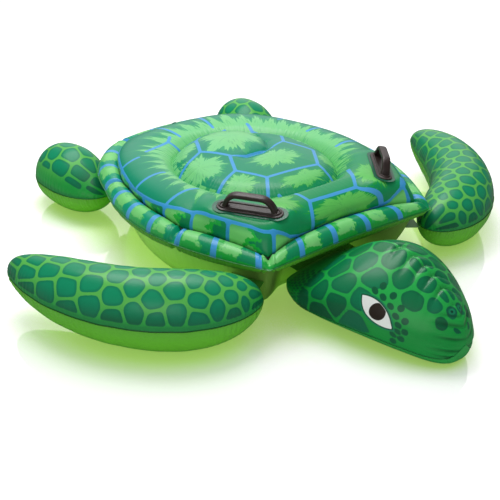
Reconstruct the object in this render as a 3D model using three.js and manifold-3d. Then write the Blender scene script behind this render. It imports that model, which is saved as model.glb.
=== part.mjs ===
// Ride-on pool float shaped like a sea turtle, built from thin welded vinyl panels.
// Millimetres, +Z up. The head points to -Y, the turtle's left side is +X, z = 0 is the floor.
import * as THREE from 'three';
import Module from 'manifold-3d';

const wasm = await Module();
wasm.setup();

// ---- driving sizes ----
const VINYL = 0.5;              // wall of every welded panel
const GAP = 0.3;                // clearance left between neighbouring pieces
const HULL_CENTRE_Y = 105;      // centre the hull rings are scaled about
const HULL_REACH = 425;         // centre to seam, turns an inward offset into a scale
const RIM_RADIUS = 33;          // rim tube
const RIM_WELD_ANGLE = 148;     // degrees round the tube from outer seam to inner weld
const WELD_FLANGE = 4;          // flat weld lip outside the rim seam
const SEAM_FRONT_Z = 172;
const SEAM_REAR_Z = 160;
const PAD_CENTRE_Y = 90;        // oval centre pad
const PAD_HALF_X = 215;
const PAD_HALF_Y = 255;
const CREASE_WEB_TOP = 205;
const OUTLINE_STEPS = 6;        // samples along each bulge of the outline
const CORNER = [272, -330];     // front corner of the rim
const SIDE_PINCH = [384, -82];
const HIP_PINCH = [362, 285];
const REAR_PINCH = [176, 540];

const FRONT_FLIPPER = {
  root: [285, -306], bend: [620, -306], tip: [712, 146],
  halfWidth: 94, upHeight: 102, downHeight: 100,
  rootSeamZ: 101, tipSeamZ: 112, fullness: 3.0, taper: 0.27, rootRamp: 0.12,
  stations: 16, rings: 6,
};
const REAR_FLIPPER = {
  root: [296, 398], bend: [342, 560], tip: [332, 690],
  halfWidth: 92, upHeight: 108, downHeight: 82,
  rootSeamZ: 84, tipSeamZ: 84, fullness: 2.5, taper: 0.05, rootRamp: 0.55,
  stations: 12, rings: 6,
};
// y, half width, top height, bottom height
const HEAD_STATIONS = [
  [-236, 0, 66, 66],
  [-243, 128, 84, 47],
  [-260, 160, 99, 30],
  [-292, 177, 120, 14],
  [-335, 185, 148, 5],
  [-385, 184, 184, 1],
  [-440, 174, 211, 0],
  [-500, 156, 217, 0],
  [-558, 134, 206, 0],
  [-608, 110, 184, 0],
  [-650, 86, 158, 0],
  [-683, 59, 130, 4],
  [-704, 33, 102, 20],
  [-713, 0, 64, 64],
];
const HEAD_SEAM_ANGLE = -26;    // degrees below the widest line
const HEAD_ARC_STEPS = 10;
// section shape: 2 is an ellipse, less draws the crown up to a ridge, more squares the jaw off on the floor
const HEAD_RIDGE_TOP = 1.42;
const HEAD_FULL_BOTTOM = 3.0;

const HANDLE_CENTRE = [222, -184, 257];
const HANDLE_TURN = 54;         // degrees of the long axis from +X
const HANDLE_LEAN = 9;          // degrees the base leans outwards
const HANDLE_LENGTH = 171;
const HANDLE_WIDTH = 42;
const HANDLE_RISE = 42;
const HANDLE_SEAT_DROP = 1.6;    // dome skin below the handle's base plane

const VALVE_SEGMENTS = 16;

const colours = {
  shell: 0x1f9d63, lime: 0x5aa033, scale: 0x0b7a54, handle: 0x2b2624, clear: 0xd8e2dc, web: 0xb9c7bd,
};

function material(colour, roughness) {
  return new THREE.MeshStandardMaterial({ color: colour, roughness, metalness: 0 });
}

// ---- closed bodies from triangles ----
function meshFromTriangles(triangles) {
  const lookup = new Map();
  const positions = [];
  const indices = [];
  const vertexId = (p) => {
    const key = p.map((v) => Math.round(v * 2000)).join(',');
    if (!lookup.has(key)) {
      lookup.set(key, positions.length / 3);
      positions.push(...p);
    }
    return lookup.get(key);
  };
  for (const triangle of triangles) {
    const [a, b, c] = triangle.map(vertexId);
    if (a !== b && b !== c && c !== a) indices.push(a, b, c);
  }
  if (signedVolume(positions, indices) < 0) {
    for (let i = 0; i < indices.length; i += 3) [indices[i], indices[i + 1]] = [indices[i + 1], indices[i]];
  }
  const geometry = new THREE.BufferGeometry();
  geometry.setAttribute('position', new THREE.Float32BufferAttribute(positions, 3));
  geometry.setIndex(indices);
  return geometry;
}

function signedVolume(positions, indices) {
  let sum = 0;
  for (let i = 0; i < indices.length; i += 3) {
    const [a, b, c] = [0, 1, 2].map((k) => new THREE.Vector3().fromArray(positions, indices[i + k] * 3));
    sum += a.dot(b.cross(c));
  }
  return sum;
}

function toManifold(geometry) {
  const position = geometry.getAttribute('position');
  const triangles = [];
  const index = geometry.index ? geometry.index.array : [...Array(position.count).keys()];
  for (let i = 0; i < index.length; i += 3) {
    triangles.push([0, 1, 2].map((k) => new THREE.Vector3().fromBufferAttribute(position, index[i + k]).toArray()));
  }
  const merged = meshFromTriangles(triangles);
  return new wasm.Manifold(new wasm.Mesh({
    numProp: 3,
    vertProperties: new Float32Array(merged.getAttribute('position').array),
    triVerts: new Uint32Array(merged.index.array),
  }));
}

function fromManifold(solid) {
  const mesh = solid.getMesh();
  const geometry = new THREE.BufferGeometry();
  geometry.setAttribute('position', new THREE.Float32BufferAttribute(mesh.vertProperties, 3));
  geometry.setIndex([...mesh.triVerts]);
  return geometry;
}

// A thin wall between two matching grids of points. Rows that meet in a point close by themselves.
function wallBetween(outer, inner, wrapsRound) {
  const triangles = [];
  const quad = (a, b, c, d) => triangles.push([a, b, c], [a, c, d]);
  const rows = outer.length;
  const columns = outer[0].length;
  const columnQuads = wrapsRound ? columns : columns - 1;
  for (let i = 0; i < rows - 1; i += 1) {
    for (let j = 0; j < columnQuads; j += 1) {
      const k = (j + 1) % columns;
      quad(outer[i][j], outer[i][k], outer[i + 1][k], outer[i + 1][j]);
      quad(inner[i][j], inner[i + 1][j], inner[i + 1][k], inner[i][k]);
    }
  }
  for (let j = 0; j < columnQuads; j += 1) {
    const k = (j + 1) % columns;
    quad(outer[0][k], outer[0][j], inner[0][j], inner[0][k]);
    quad(outer[rows - 1][j], outer[rows - 1][k], inner[rows - 1][k], inner[rows - 1][j]);
  }
  if (!wrapsRound) {
    for (let i = 0; i < rows - 1; i += 1) {
      const last = columns - 1;
      quad(outer[i][0], outer[i + 1][0], inner[i + 1][0], inner[i][0]);
      quad(outer[i + 1][last], outer[i][last], inner[i][last], inner[i + 1][last]);
    }
  }
  return meshFromTriangles(triangles);
}

// ---- hull ----
function halfOutline() {
  const bulges = [
    [[0, -320], [150, -322], CORNER],
    [CORNER, [345, -215], SIDE_PINCH],
    [SIDE_PINCH, [432, 105], HIP_PINCH],
    [HIP_PINCH, [314, 482], REAR_PINCH],
    [REAR_PINCH, [92, 560], [0, 560]],
  ];
  const points = [];
  for (const [from, via, to] of bulges) {
    const curve = new THREE.QuadraticBezierCurve(
      new THREE.Vector2(...from), new THREE.Vector2(...via), new THREE.Vector2(...to));
    points.push(...curve.getPoints(OUTLINE_STEPS).slice(0, OUTLINE_STEPS));
  }
  points.push(new THREE.Vector2(0, 560));
  return points;
}

const OUTLINE = (() => {
  const half = halfOutline();
  const mirrored = half.slice(1, -1).reverse().map((p) => new THREE.Vector2(-p.x, p.y));
  return [...half, ...mirrored].map((p) => {
    const dx = p.x;
    const dy = p.y - HULL_CENTRE_Y;
    const reach = Math.hypot(dx, dy);
    const overNeck = p.y < -200 ? 1 - THREE.MathUtils.smoothstep(Math.abs(p.x), 170, 262) : 0;
    const rearness = THREE.MathUtils.clamp((p.y + 330) / 890, 0, 1);
    return { ux: dx / reach, uy: dy / reach, reach, rearness, overNeck };
  });
})();

function seamHeight(ray) {
  return THREE.MathUtils.lerp(SEAM_FRONT_Z, SEAM_REAR_Z, ray.rearness);
}

function padReach(ray) {
  // distance from the hull centre to the pad's oval along this ray
  const shift = PAD_CENTRE_Y - HULL_CENTRE_Y;
  const a = (ray.ux / PAD_HALF_X) ** 2 + (ray.uy / PAD_HALF_Y) ** 2;
  const b = (-2 * ray.uy * shift) / PAD_HALF_Y ** 2;
  const c = (shift / PAD_HALF_Y) ** 2 - 1;
  return (-b + Math.sqrt(b * b - 4 * a * c)) / (2 * a);
}

function insetProfile(profile, distance) {
  return profile.map((point, i) => {
    const before = profile[Math.max(i - 1, 0)];
    const after = profile[Math.min(i + 1, profile.length - 1)];
    const edges = [[before, point], [point, after]].filter(([p, q]) => p !== q);
    const normals = edges.map(([p, q]) => new THREE.Vector2(q[1] - p[1], p[0] - q[0]).normalize());
    const normal = normals.reduce((sum, n) => sum.add(n), new THREE.Vector2()).normalize();
    const miter = distance / Math.max(normal.dot(normals[normals.length - 1].clone()), 0.5);
    const centre = i === profile.length - 1 && Math.abs(point[0]) < 1e-6;
    return centre ? [0, point[1] + Math.sign(normal.y) * distance] : [point[0] + normal.x * miter, point[1] + normal.y * miter];
  });
}

function hullPoint(ray, distance, z) {
  return [ray.ux * distance, HULL_CENTRE_Y + ray.uy * distance, z];
}

// The dome lies flat under each handle: height that takes a point there onto the handle's base plane.
// The lowest rows, which are the wall over the rim weld, stay where they are.
function seatLift([x, y, z], row) {
  const turn = THREE.MathUtils.degToRad(HANDLE_TURN);
  const dx = Math.abs(x) - HANDLE_CENTRE[0];
  const dy = y - HANDLE_CENTRE[1];
  const along = dx * Math.cos(turn) + dy * Math.sin(turn);
  const across = dy * Math.cos(turn) - dx * Math.sin(turn);
  const past = Math.max(Math.abs(along) - (HANDLE_LENGTH - HANDLE_WIDTH) / 2, 0);
  const outside = Math.hypot(past, across) - HANDLE_WIDTH / 2;
  const pull = (1 - THREE.MathUtils.smoothstep(outside, 12, 70)) * THREE.MathUtils.clamp((row - 2) * 0.5, 0, 1);
  const plane = HANDLE_CENTRE[2] + across * Math.tan(THREE.MathUtils.degToRad(HANDLE_LEAN)) - HANDLE_SEAT_DROP;
  return (plane - z) * pull;
}

// Spins a profile, given as [distance from centre, z] on each ray, into a thin wall.
// liftOn gives a height to add at a point of the outer face. The inner face moves with it.
function hullPanel(profileOn, side, liftOn = () => 0) {
  const outerColumns = OUTLINE.map((ray) => profileOn(ray));
  const innerColumns = outerColumns.map((profile) => insetProfile(profile, side * VINYL));
  const rows = outerColumns[0].length;
  const lifts = Array.from({ length: rows }, (_, i) => outerColumns.map(
    (profile, j) => liftOn(hullPoint(OUTLINE[j], profile[i][0], profile[i][1]), i)));
  const grid = (columns) => Array.from({ length: rows }, (_, i) => columns.map(
    (profile, j) => hullPoint(OUTLINE[j], profile[i][0], profile[i][1] + lifts[i][j])));
  return wallBetween(grid(outerColumns), grid(innerColumns), true);
}

function offsetReach(ray, offset) {
  return ray.reach * (1 - offset / HULL_REACH);
}

// offset from the seam, height over the seam at the front, height over the seam at the rear
const DOME_WALL = [
  [61.6, 19, 19],
  [57, 28, 27],
  [55, 39, 36],
  [60, 54, 47],
  [78, 70, 57],
  [105, 82, 64],
  [137, 86, 66],
];
// blend towards the pad oval, front and rear heights over the seam
const DOME_RING_INNER = [
  [0.55, 77, 61],
  [0.88, 60, 48],
];
// share of the oval, front and rear heights over the seam
const DOME_PAD = [
  [1.0, 51, 41],
  [0.92, 64, 55],
  [0.8, 78, 70],
  [0.55, 87, 80],
  [0.25, 92, 86],
  [0, 93, 88],
];

function domeProfile(ray) {
  const seam = seamHeight(ray);
  const height = (front, rear) => seam + THREE.MathUtils.lerp(front, rear, ray.rearness);
  const oval = padReach(ray);
  const crest = offsetReach(ray, 137);
  const centreHeight = (SEAM_FRONT_Z + SEAM_REAR_Z) / 2 + 90;
  return [
    ...DOME_WALL.map(([offset, front, rear]) => [offsetReach(ray, offset), height(front, rear)]),
    ...DOME_RING_INNER.map(([blend, front, rear]) => [
      THREE.MathUtils.lerp(crest, oval, blend), height(front, rear)]),
    ...DOME_PAD.map(([share, front, rear]) => [
      oval * share, THREE.MathUtils.lerp(centreHeight, height(front, rear), share)]),
  ];
}

// The front wall leans back under the rim to make room for the neck.
function hullBottomProfile(ray) {
  const seam = seamHeight(ray);
  const inwards = (offset, room) => offsetReach(ray, offset + room * ray.overNeck);
  return [
    [inwards(61.6, 0), seam - 19],
    [inwards(58, 12), seam - 36],
    [inwards(62, 56), seam * 0.52],
    [inwards(76, 55), seam * 0.26],
    [inwards(100, 40), seam * 0.08],
    [inwards(132, 20), 0],
    [ray.reach * 0.3, 0],
    [0, 0],
  ];
}

function rimProfile(ray, side) {
  const seam = seamHeight(ray);
  const lift = side * (VINYL + GAP / 2);
  const points = [[offsetReach(ray, -WELD_FLANGE), seam + lift], [offsetReach(ray, 0), seam + lift]];
  const steps = 6;
  for (let i = 1; i <= steps; i += 1) {
    const angle = THREE.MathUtils.degToRad((RIM_WELD_ANGLE * i) / steps);
    const offset = RIM_RADIUS * (1 - Math.cos(angle));
    points.push([offsetReach(ray, offset), seam + side * RIM_RADIUS * Math.sin(angle)]);
  }
  return points;
}

// An upright strip of vinyl that follows the hull, from one height to another.
function uprightWeb(reachOn, lowOn, highOn) {
  const outer = [0, 1].map((end) => OUTLINE.map((ray) => hullPoint(
    ray, reachOn(ray), end ? highOn(ray) : lowOn(ray))));
  const inner = [0, 1].map((end) => OUTLINE.map((ray) => hullPoint(
    ray, reachOn(ray) - VINYL, end ? highOn(ray) : lowOn(ray))));
  return wallBetween(outer, inner, true);
}

function rimWeb() {
  const reach = (ray) => offsetReach(ray, 63.5);
  return uprightWeb(reach, (ray) => seamHeight(ray) - 18, (ray) => seamHeight(ray) + 18);
}

function padRingWeb() {
  const groove = DOME_PAD[0];
  const top = (ray) => seamHeight(ray) + THREE.MathUtils.lerp(groove[1], groove[2], ray.rearness) - 6;
  return uprightWeb(padReach, () => 1.2, top);
}

// Upright web under the curved crease in the pad. It holds the pad down along that line.
function creaseWeb() {
  const arc = new THREE.EllipseCurve(0, 215, 112, 131, -0.69 * Math.PI, 0.2 * Math.PI);
  const path = arc.getPoints(12);
  const strip = (shift) => [1.2, CREASE_WEB_TOP].map((z) => path.map((p) => [p.x * shift, 215 + (p.y - 215) * shift, z]));
  return wallBetween(strip(1), strip(1 - VINYL / 120), false);
}

// ---- flippers ----
function flipperPoint(spec, along, angle, inset) {
  const [ax, ay] = spec.root;
  const [bx, by] = spec.bend;
  const [cx, cy] = spec.tip;
  const spine = new THREE.QuadraticBezierCurve(
    new THREE.Vector2(ax, ay), new THREE.Vector2(bx, by), new THREE.Vector2(cx, cy));
  const shrink = inset / 500;
  const at = shrink + (1 - 2 * shrink) * along;
  const centre = spine.getPoint(at);
  const heading = spine.getTangent(at);
  const round = Math.sqrt(Math.max(1 - Math.abs(2 * along - 1) ** spec.fullness, 0));
  const girth = round * (1 - spec.taper * (along - 0.35));
  const ramp = 1 - spec.rootRamp * (1 - THREE.MathUtils.smoothstep(along, 0, 0.5));
  const halfWidth = (spec.halfWidth - inset) * girth;
  const up = Math.sin(angle) >= 0;
  const rise = up ? (spec.upHeight - inset) * girth * ramp : (spec.downHeight - inset) * girth;
  const seam = THREE.MathUtils.lerp(spec.rootSeamZ, spec.tipSeamZ, along * along);
  const z = seam + (up ? 1 : -1) * (GAP / 2) + rise * Math.sin(angle);
  return [
    centre.x + heading.y * halfWidth * Math.cos(angle),
    centre.y - heading.x * halfWidth * Math.cos(angle),
    Math.max(z, inset),
  ];
}

function flipperPanel(spec, isTop, mirror) {
  const grid = (inset) => Array.from({ length: spec.stations + 1 }, (_, i) => {
    const along = (1 - Math.cos((Math.PI * i) / spec.stations)) / 2;
    return Array.from({ length: spec.rings + 1 }, (_, j) => {
      const angle = (Math.PI * j) / spec.rings;
      const edge = j === 0 || j === spec.rings;
      const side = edge ? (isTop ? 1e-7 : -1e-7) : 0;
      const turned = (isTop ? angle : -angle);
      const p = flipperPoint(spec, along, edge ? Math.sign(side) * (j === 0 ? 1e-6 : Math.PI - 1e-6) : turned, inset);
      return [mirror * p[0], p[1], p[2]];
    });
  });
  return wallBetween(grid(0), grid(VINYL), false);
}

// ---- head ----
function headSection(at) {
  const curves = [1, 2, 3].map((k) => new THREE.SplineCurve(
    HEAD_STATIONS.map((row) => new THREE.Vector2(row[0], row[k]))));
  const last = HEAD_STATIONS.length - 1;
  const t = at / last;
  const [w, top, bottom] = curves.map((curve) => curve.getPoint(t));
  return { y: w.x, halfWidth: Math.max(w.y, 0), top: top.y, bottom: Math.max(bottom.y, 0) };
}

function headPoint(station, angle, inset) {
  const section = headSection(station);
  const middle = (section.top + section.bottom) / 2;
  const halfHeight = (section.top - section.bottom) / 2;
  const ends = [HEAD_STATIONS[0][0], HEAD_STATIONS[HEAD_STATIONS.length - 1][0]];
  const shrink = 1 - (2 * inset) / Math.abs(ends[1] - ends[0]);
  const middleY = (ends[0] + ends[1]) / 2;
  const narrow = section.halfWidth * (1 - inset / 90);
  const low = halfHeight * (1 - inset / 60);
  const fullness = 2 / (Math.sin(angle) < 0 ? HEAD_FULL_BOTTOM : HEAD_RIDGE_TOP);
  const full = (value) => Math.sign(value) * Math.abs(value) ** fullness;
  return [
    narrow * full(Math.cos(angle)),
    middleY + (section.y - middleY) * shrink,
    middle + low * full(Math.sin(angle)),
  ];
}

function headPanel(isTop) {
  const start = THREE.MathUtils.degToRad(HEAD_SEAM_ANGLE);
  const sweep = isTop ? Math.PI - 2 * start : Math.PI + 2 * start;
  const shift = (isTop ? 1 : -1) * (GAP / 2);
  const rows = 18;
  const grid = (inset) => Array.from({ length: rows + 1 }, (_, i) => {
    const station = ((HEAD_STATIONS.length - 1) * i) / rows;
    return Array.from({ length: HEAD_ARC_STEPS + 1 }, (_, j) => {
      const angle = isTop ? start + (sweep * j) / HEAD_ARC_STEPS : start - (sweep * j) / HEAD_ARC_STEPS;
      const p = headPoint(station, angle, inset);
      return [p[0], p[1], Math.max(p[2] + shift, inset)];
    });
  });
  return wallBetween(grid(0), grid(VINYL), false);
}

// ---- weld tabs ----
function flatTab(corners, z, thickness) {
  const shape = new THREE.Shape(corners.map(([x, y]) => new THREE.Vector2(x, y)));
  return new THREE.ExtrudeGeometry(shape, { depth: thickness, bevelEnabled: false }).translate(0, 0, z);
}

const FRONT_TAB = [[239, -269.5], [279, -297], [318, -211], [280, -190]];
const REAR_TAB = [[272.5, 366.8], [282.3, 377.6], [246.3, 435.4], [232.3, 431.4]];
const NECK_TAB = [[-104, -233.5], [104, -233.5], [104, -202], [-104, -202]];

function mirrored(corners) {
  return corners.map(([x, y]) => [-x, y]).reverse();
}

// ---- handles ----
function stadium(length, width) {
  const r = width / 2;
  const straight = length / 2 - r;
  const shape = new THREE.Shape();
  shape.moveTo(-straight, -r);
  shape.lineTo(straight, -r);
  shape.absarc(straight, 0, r, -Math.PI / 2, Math.PI / 2, false);
  shape.lineTo(-straight, r);
  shape.absarc(-straight, 0, r, Math.PI / 2, (3 * Math.PI) / 2, false);
  return shape;
}

function plate(shape, thickness, z) {
  return new THREE.ExtrudeGeometry(shape, { depth: thickness, bevelEnabled: false, curveSegments: 8 }).translate(0, 0, z);
}

function handleBar() {
  const half = HANDLE_LENGTH / 2 - 18;
  const shape = new THREE.Shape();
  const outside = [[-half, 0], [-half + 6, 20], [-half + 26, HANDLE_RISE], [half - 26, HANDLE_RISE], [half - 6, 20], [half, 0]];
  const inside = [[half - 11, 0], [half - 16, 18], [half - 31, HANDLE_RISE - 9], [-half + 31, HANDLE_RISE - 9], [-half + 16, 18], [-half + 11, 0]];
  for (const [i, [x, z]] of [...outside, ...inside].entries()) {
    if (i === 0) shape.moveTo(x, z);
    else shape.lineTo(x, z);
  }
  return new THREE.ExtrudeGeometry(shape, { depth: 20, bevelEnabled: false }).translate(0, 0, -10).rotateX(Math.PI / 2);
}

function placeHandle(geometry, mirror) {
  const turn = mirror > 0 ? HANDLE_TURN : 180 - HANDLE_TURN;
  const lean = mirror > 0 ? HANDLE_LEAN : -HANDLE_LEAN;
  return geometry
    .rotateX(THREE.MathUtils.degToRad(lean))
    .rotateZ(THREE.MathUtils.degToRad(turn))
    .translate(mirror * HANDLE_CENTRE[0], HANDLE_CENTRE[1], HANDLE_CENTRE[2]);
}

function handleMoulding(mirror) {
  const base = toManifold(plate(stadium(HANDLE_LENGTH, HANDLE_WIDTH), 3, 0));
  const collar = toManifold(plate(stadium(HANDLE_LENGTH - 18, HANDLE_WIDTH - 14), 6, 1));
  const bar = toManifold(handleBar().translate(0, 0, 2));
  return placeHandle(fromManifold(base.add(collar).add(bar)), mirror);
}

function handlePatch(mirror) {
  return placeHandle(plate(stadium(HANDLE_LENGTH + 22, HANDLE_WIDTH + 16), VINYL, -GAP - VINYL), mirror);
}

// ---- valves, built along +Z with the panel's outside face at z = 0 ----
function ringProfile(points) {
  const closed = [...points, points[0]].map(([r, z]) => new THREE.Vector2(r, z));
  return new THREE.LatheGeometry(closed, VALVE_SEGMENTS).rotateX(Math.PI / 2);
}

function valveSeat() {
  return ringProfile([[6.5, -2.5], [8, -2.5], [8, GAP], [13, GAP], [13, 1.2], [12.3, 1.8], [6.5, 1.8]]);
}

function valveStem() {
  return ringProfile([[3.9, -16.5], [7.6, -16.5], [7.6, -15.2], [6.2, -15.2], [6.2, 2.1], [7.6, 2.1], [7.6, 3.3], [3.9, 3.3]]);
}

function valveFlap() {
  return new THREE.CylinderGeometry(6.6, 6.6, 0.6, VALVE_SEGMENTS).rotateX(Math.PI / 2).translate(0, 0, -17.2);
}

function valveStrap() {
  const ring = toManifold(ringProfile([[7.9, 2.1], [9.4, 2.1], [9.4, 3.3], [7.9, 3.3]]));
  const tongue = toManifold(new THREE.BoxGeometry(6, 5, 1.2).translate(-12, 0, 2.7));
  return fromManifold(ring.add(tongue));
}

function valvePlug() {
  const cap = toManifold(ringProfile([[0, -2.4], [2.4, -2.4], [3.6, 3.6], [7, 3.6], [7, 4.8], [6.4, 5.4], [0, 5.4]]));
  const tongue = toManifold(new THREE.BoxGeometry(7.4, 4, 1).translate(-9.5, 0, 4.2));
  const tab = toManifold(new THREE.BoxGeometry(5, 5, 1.2).translate(8.4, 0, 4.2));
  return fromManifold(cap.add(tongue).add(tab));
}

// The valve axis is outward along +Y, tilted by pitch degrees (up positive).
function valveMatrix(spot) {
  const axis = new THREE.Vector3(0, Math.cos(THREE.MathUtils.degToRad(spot.pitch)), Math.sin(THREE.MathUtils.degToRad(spot.pitch)));
  const across = new THREE.Vector3(1, 0, 0);
  const matrix = new THREE.Matrix4().makeBasis(across, new THREE.Vector3().crossVectors(axis, across), axis);
  return matrix.setPosition(...spot.at);
}

const MAIN_VALVE = { at: [0, 498.6, 201.6], pitch: 25.7 };
const RIM_VALVE = { at: [0, 541.2, 131.4], pitch: -63.3 };

function cutValveHole(geometry, spot) {
  const drill = new THREE.CylinderGeometry(8.4, 8.4, 60, VALVE_SEGMENTS).rotateX(Math.PI / 2).applyMatrix4(valveMatrix(spot));
  return fromManifold(toManifold(geometry).subtract(toManifold(drill)));
}

// ---- assembly ----
const part = new THREE.Group();
part.name = 'turtle_pool_float';

function addPart(name, geometry, colour, roughness) {
  const mesh = new THREE.Mesh(geometry, material(colour, roughness));
  mesh.name = name;
  part.add(mesh);
}

addPart('dome_top_panel', cutValveHole(hullPanel(domeProfile, 1, seatLift), MAIN_VALVE), colours.shell, 0.3);
addPart('hull_bottom_panel', hullPanel(hullBottomProfile, 1), colours.lime, 0.35);
addPart('rim_top_panel', hullPanel((ray) => rimProfile(ray, 1), 1), colours.shell, 0.3);
addPart('rim_bottom_panel', cutValveHole(hullPanel((ray) => rimProfile(ray, -1), -1), RIM_VALVE), colours.lime, 0.35);
addPart('rim_chamber_web', rimWeb(), colours.web, 0.5);
addPart('pad_ring_web', padRingWeb(), colours.web, 0.5);
addPart('pad_crease_web', creaseWeb(), colours.web, 0.5);
addPart('head_top_panel', headPanel(true), colours.scale, 0.3);
addPart('head_bottom_panel', headPanel(false), colours.lime, 0.35);
addPart('neck_weld_tab', flatTab(NECK_TAB, 65.5, 1), colours.lime, 0.4);

for (const [side, mirror] of [['left', 1], ['right', -1]]) {
  addPart(`front_flipper_top_${side}`, flipperPanel(FRONT_FLIPPER, true, mirror), colours.scale, 0.3);
  addPart(`front_flipper_bottom_${side}`, flipperPanel(FRONT_FLIPPER, false, mirror), colours.lime, 0.35);
  addPart(`rear_flipper_top_${side}`, flipperPanel(REAR_FLIPPER, true, mirror), colours.scale, 0.3);
  addPart(`rear_flipper_bottom_${side}`, flipperPanel(REAR_FLIPPER, false, mirror), colours.lime, 0.35);
  addPart(`front_flipper_weld_tab_${side}`, flatTab(mirror > 0 ? FRONT_TAB : mirrored(FRONT_TAB), 100.5, 1), colours.lime, 0.4);
  addPart(`rear_flipper_weld_tab_${side}`, flatTab(mirror > 0 ? REAR_TAB : mirrored(REAR_TAB), 83.5, 1), colours.lime, 0.4);
  addPart(`handle_${side}`, handleMoulding(mirror), colours.handle, 0.45);
  addPart(`handle_patch_${side}`, handlePatch(mirror), colours.shell, 0.35);
}

for (const [name, spot] of [['main_valve', MAIN_VALVE], ['rim_valve', RIM_VALVE]]) {
  const place = (geometry) => geometry.applyMatrix4(valveMatrix(spot));
  addPart(`${name}_seat`, place(valveSeat()), colours.clear, 0.4);
  addPart(`${name}_stem`, place(valveStem()), colours.clear, 0.4);
  addPart(`${name}_check_flap`, place(valveFlap()), colours.clear, 0.4);
  addPart(`${name}_strap`, place(valveStrap()), colours.clear, 0.4);
  addPart(`${name}_plug`, place(valvePlug()), colours.clear, 0.4);
}

export default part;
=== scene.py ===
"""Looks of the ride-on turtle pool float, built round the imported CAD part.

Shapes are written in millimetres and turned into metres when a mesh is made.
The frame is the CAD's: +Z up, the head points to -Y, the turtle's left side is +X.
"""
import math

import bmesh
import bpy
import numpy as np
from mathutils import Matrix, Vector


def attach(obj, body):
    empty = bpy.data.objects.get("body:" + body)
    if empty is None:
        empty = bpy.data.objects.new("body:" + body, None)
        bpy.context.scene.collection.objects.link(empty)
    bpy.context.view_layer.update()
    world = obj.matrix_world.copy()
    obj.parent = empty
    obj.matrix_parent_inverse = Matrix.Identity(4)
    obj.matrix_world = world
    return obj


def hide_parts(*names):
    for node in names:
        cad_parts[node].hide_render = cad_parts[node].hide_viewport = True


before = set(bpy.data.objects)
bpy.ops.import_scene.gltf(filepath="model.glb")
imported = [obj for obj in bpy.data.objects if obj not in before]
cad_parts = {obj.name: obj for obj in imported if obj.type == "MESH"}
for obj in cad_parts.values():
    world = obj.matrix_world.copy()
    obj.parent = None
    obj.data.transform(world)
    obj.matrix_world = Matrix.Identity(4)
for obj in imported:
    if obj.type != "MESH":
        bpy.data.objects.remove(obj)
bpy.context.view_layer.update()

MM = 0.001

# ---- driving sizes shared with the CAD part ----
HULL_CENTRE_Y = 105.0
HULL_REACH = 425.0
RIM_RADIUS = 33.0
RIM_WELD_ANGLE = 148.0
WELD_FLANGE = 4.0
SEAM_FRONT_Z = 172.0
SEAM_REAR_Z = 160.0
PAD_CENTRE_Y = 90.0
PAD_HALF_X = 215.0
PAD_HALF_Y = 255.0
CORNER = (272, -330)
SIDE_PINCH = (384, -82)
HIP_PINCH = (362, 285)
REAR_PINCH = (176, 540)
# from, through, to, samples along the bulge
BULGES = [
    ((0, -320), (150, -322), CORNER, 84),
    (CORNER, (345, -215), SIDE_PINCH, 86),
    (SIDE_PINCH, (432, 105), HIP_PINCH, 118),
    (HIP_PINCH, (314, 482), REAR_PINCH, 100),
    (REAR_PINCH, (92, 560), (0, 560), 56),
]
PINCHES = [CORNER, SIDE_PINCH, HIP_PINCH, REAR_PINCH]
PINCH_NARROWING = [0.2, 0.12, 0.12, 0.1]
FRONT_NARROWING = 0.2
FRONT_NARROWING_REACH = 150.0

FRONT_FLIPPER = dict(
    root=(285, -306), bend=(620, -306), tip=(712, 146),
    half_width=94, up=102, down=100, root_z=101, tip_z=112,
    fullness=3.0, taper=0.27, root_ramp=0.12,
)
REAR_FLIPPER = dict(
    root=(296, 398), bend=(342, 560), tip=(332, 690),
    half_width=92, up=108, down=82, root_z=84, tip_z=84,
    fullness=2.5, taper=0.05, root_ramp=0.55,
)
HEAD_STATIONS = np.array([
    (-236, 0, 66, 66), (-243, 128, 84, 47), (-260, 160, 99, 30), (-292, 177, 120, 14),
    (-335, 185, 148, 5), (-385, 184, 184, 1), (-440, 174, 211, 0), (-500, 156, 217, 0),
    (-558, 134, 206, 0), (-608, 110, 184, 0), (-650, 86, 158, 0), (-683, 59, 130, 4),
    (-704, 33, 102, 20), (-713, 0, 64, 64),
], float)
HEAD_SEAM_ANGLE = math.radians(-26)
# section shape: 2 is an ellipse, less draws the crown up to a ridge, more squares the jaw off on the floor
HEAD_RIDGE_TOP = 1.42
HEAD_FULL_BOTTOM = 3.0
HANDLE_CENTRE = (222.0, -184.0, 257.0)
HANDLE_TURN = math.radians(54)
HANDLE_LEAN = math.radians(9)
HANDLE_LENGTH = 171.0
HANDLE_WIDTH = 42.0
HANDLE_SEAT_DROP = 1.6
# offset from the seam, height over the seam at the front and at the rear
DOME_WALL = [
    (61.6, 19, 19), (57, 28, 27), (55, 39, 36), (60, 54, 47), (78, 70, 57), (105, 82, 64), (137, 86, 66),
]
# at each wall point: how far it moves out and down where the rim is drawn in, and how rounded it runs
WALL_OUTWARD = (61, 54, 44, 30, 14, 4, 0)
WALL_DOWNWARD = (19, 21, 18, 12, 5, 0, 0)
WALL_ROUNDING = (0, 9, 18, 26, 30, 30, 30)
DOME_RING_INNER = [(0.55, 77, 61), (0.88, 60, 48)]
DOME_PAD = [(1.0, 51, 41), (0.92, 64, 55), (0.8, 78, 70), (0.55, 87, 80), (0.25, 92, 86), (0, 93, 88)]
PANEL_WALL = 0.5
SEAM_GAP = 0.15


# ---- small numeric helpers ----
def lerp(a, b, t):
    return a + (b - a) * t


def smooth_minimum(a, b, blend):
    """The lower of two values, with their crossing rounded off over blend."""
    share = np.clip(0.5 + 0.5 * (b - a) / blend, 0, 1)
    return lerp(b, a, share) - blend * share * (1 - share)


def smoothstep(x, low, high):
    t = np.clip((x - low) / (high - low), 0, 1)
    return t * t * (3 - 2 * t)


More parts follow.
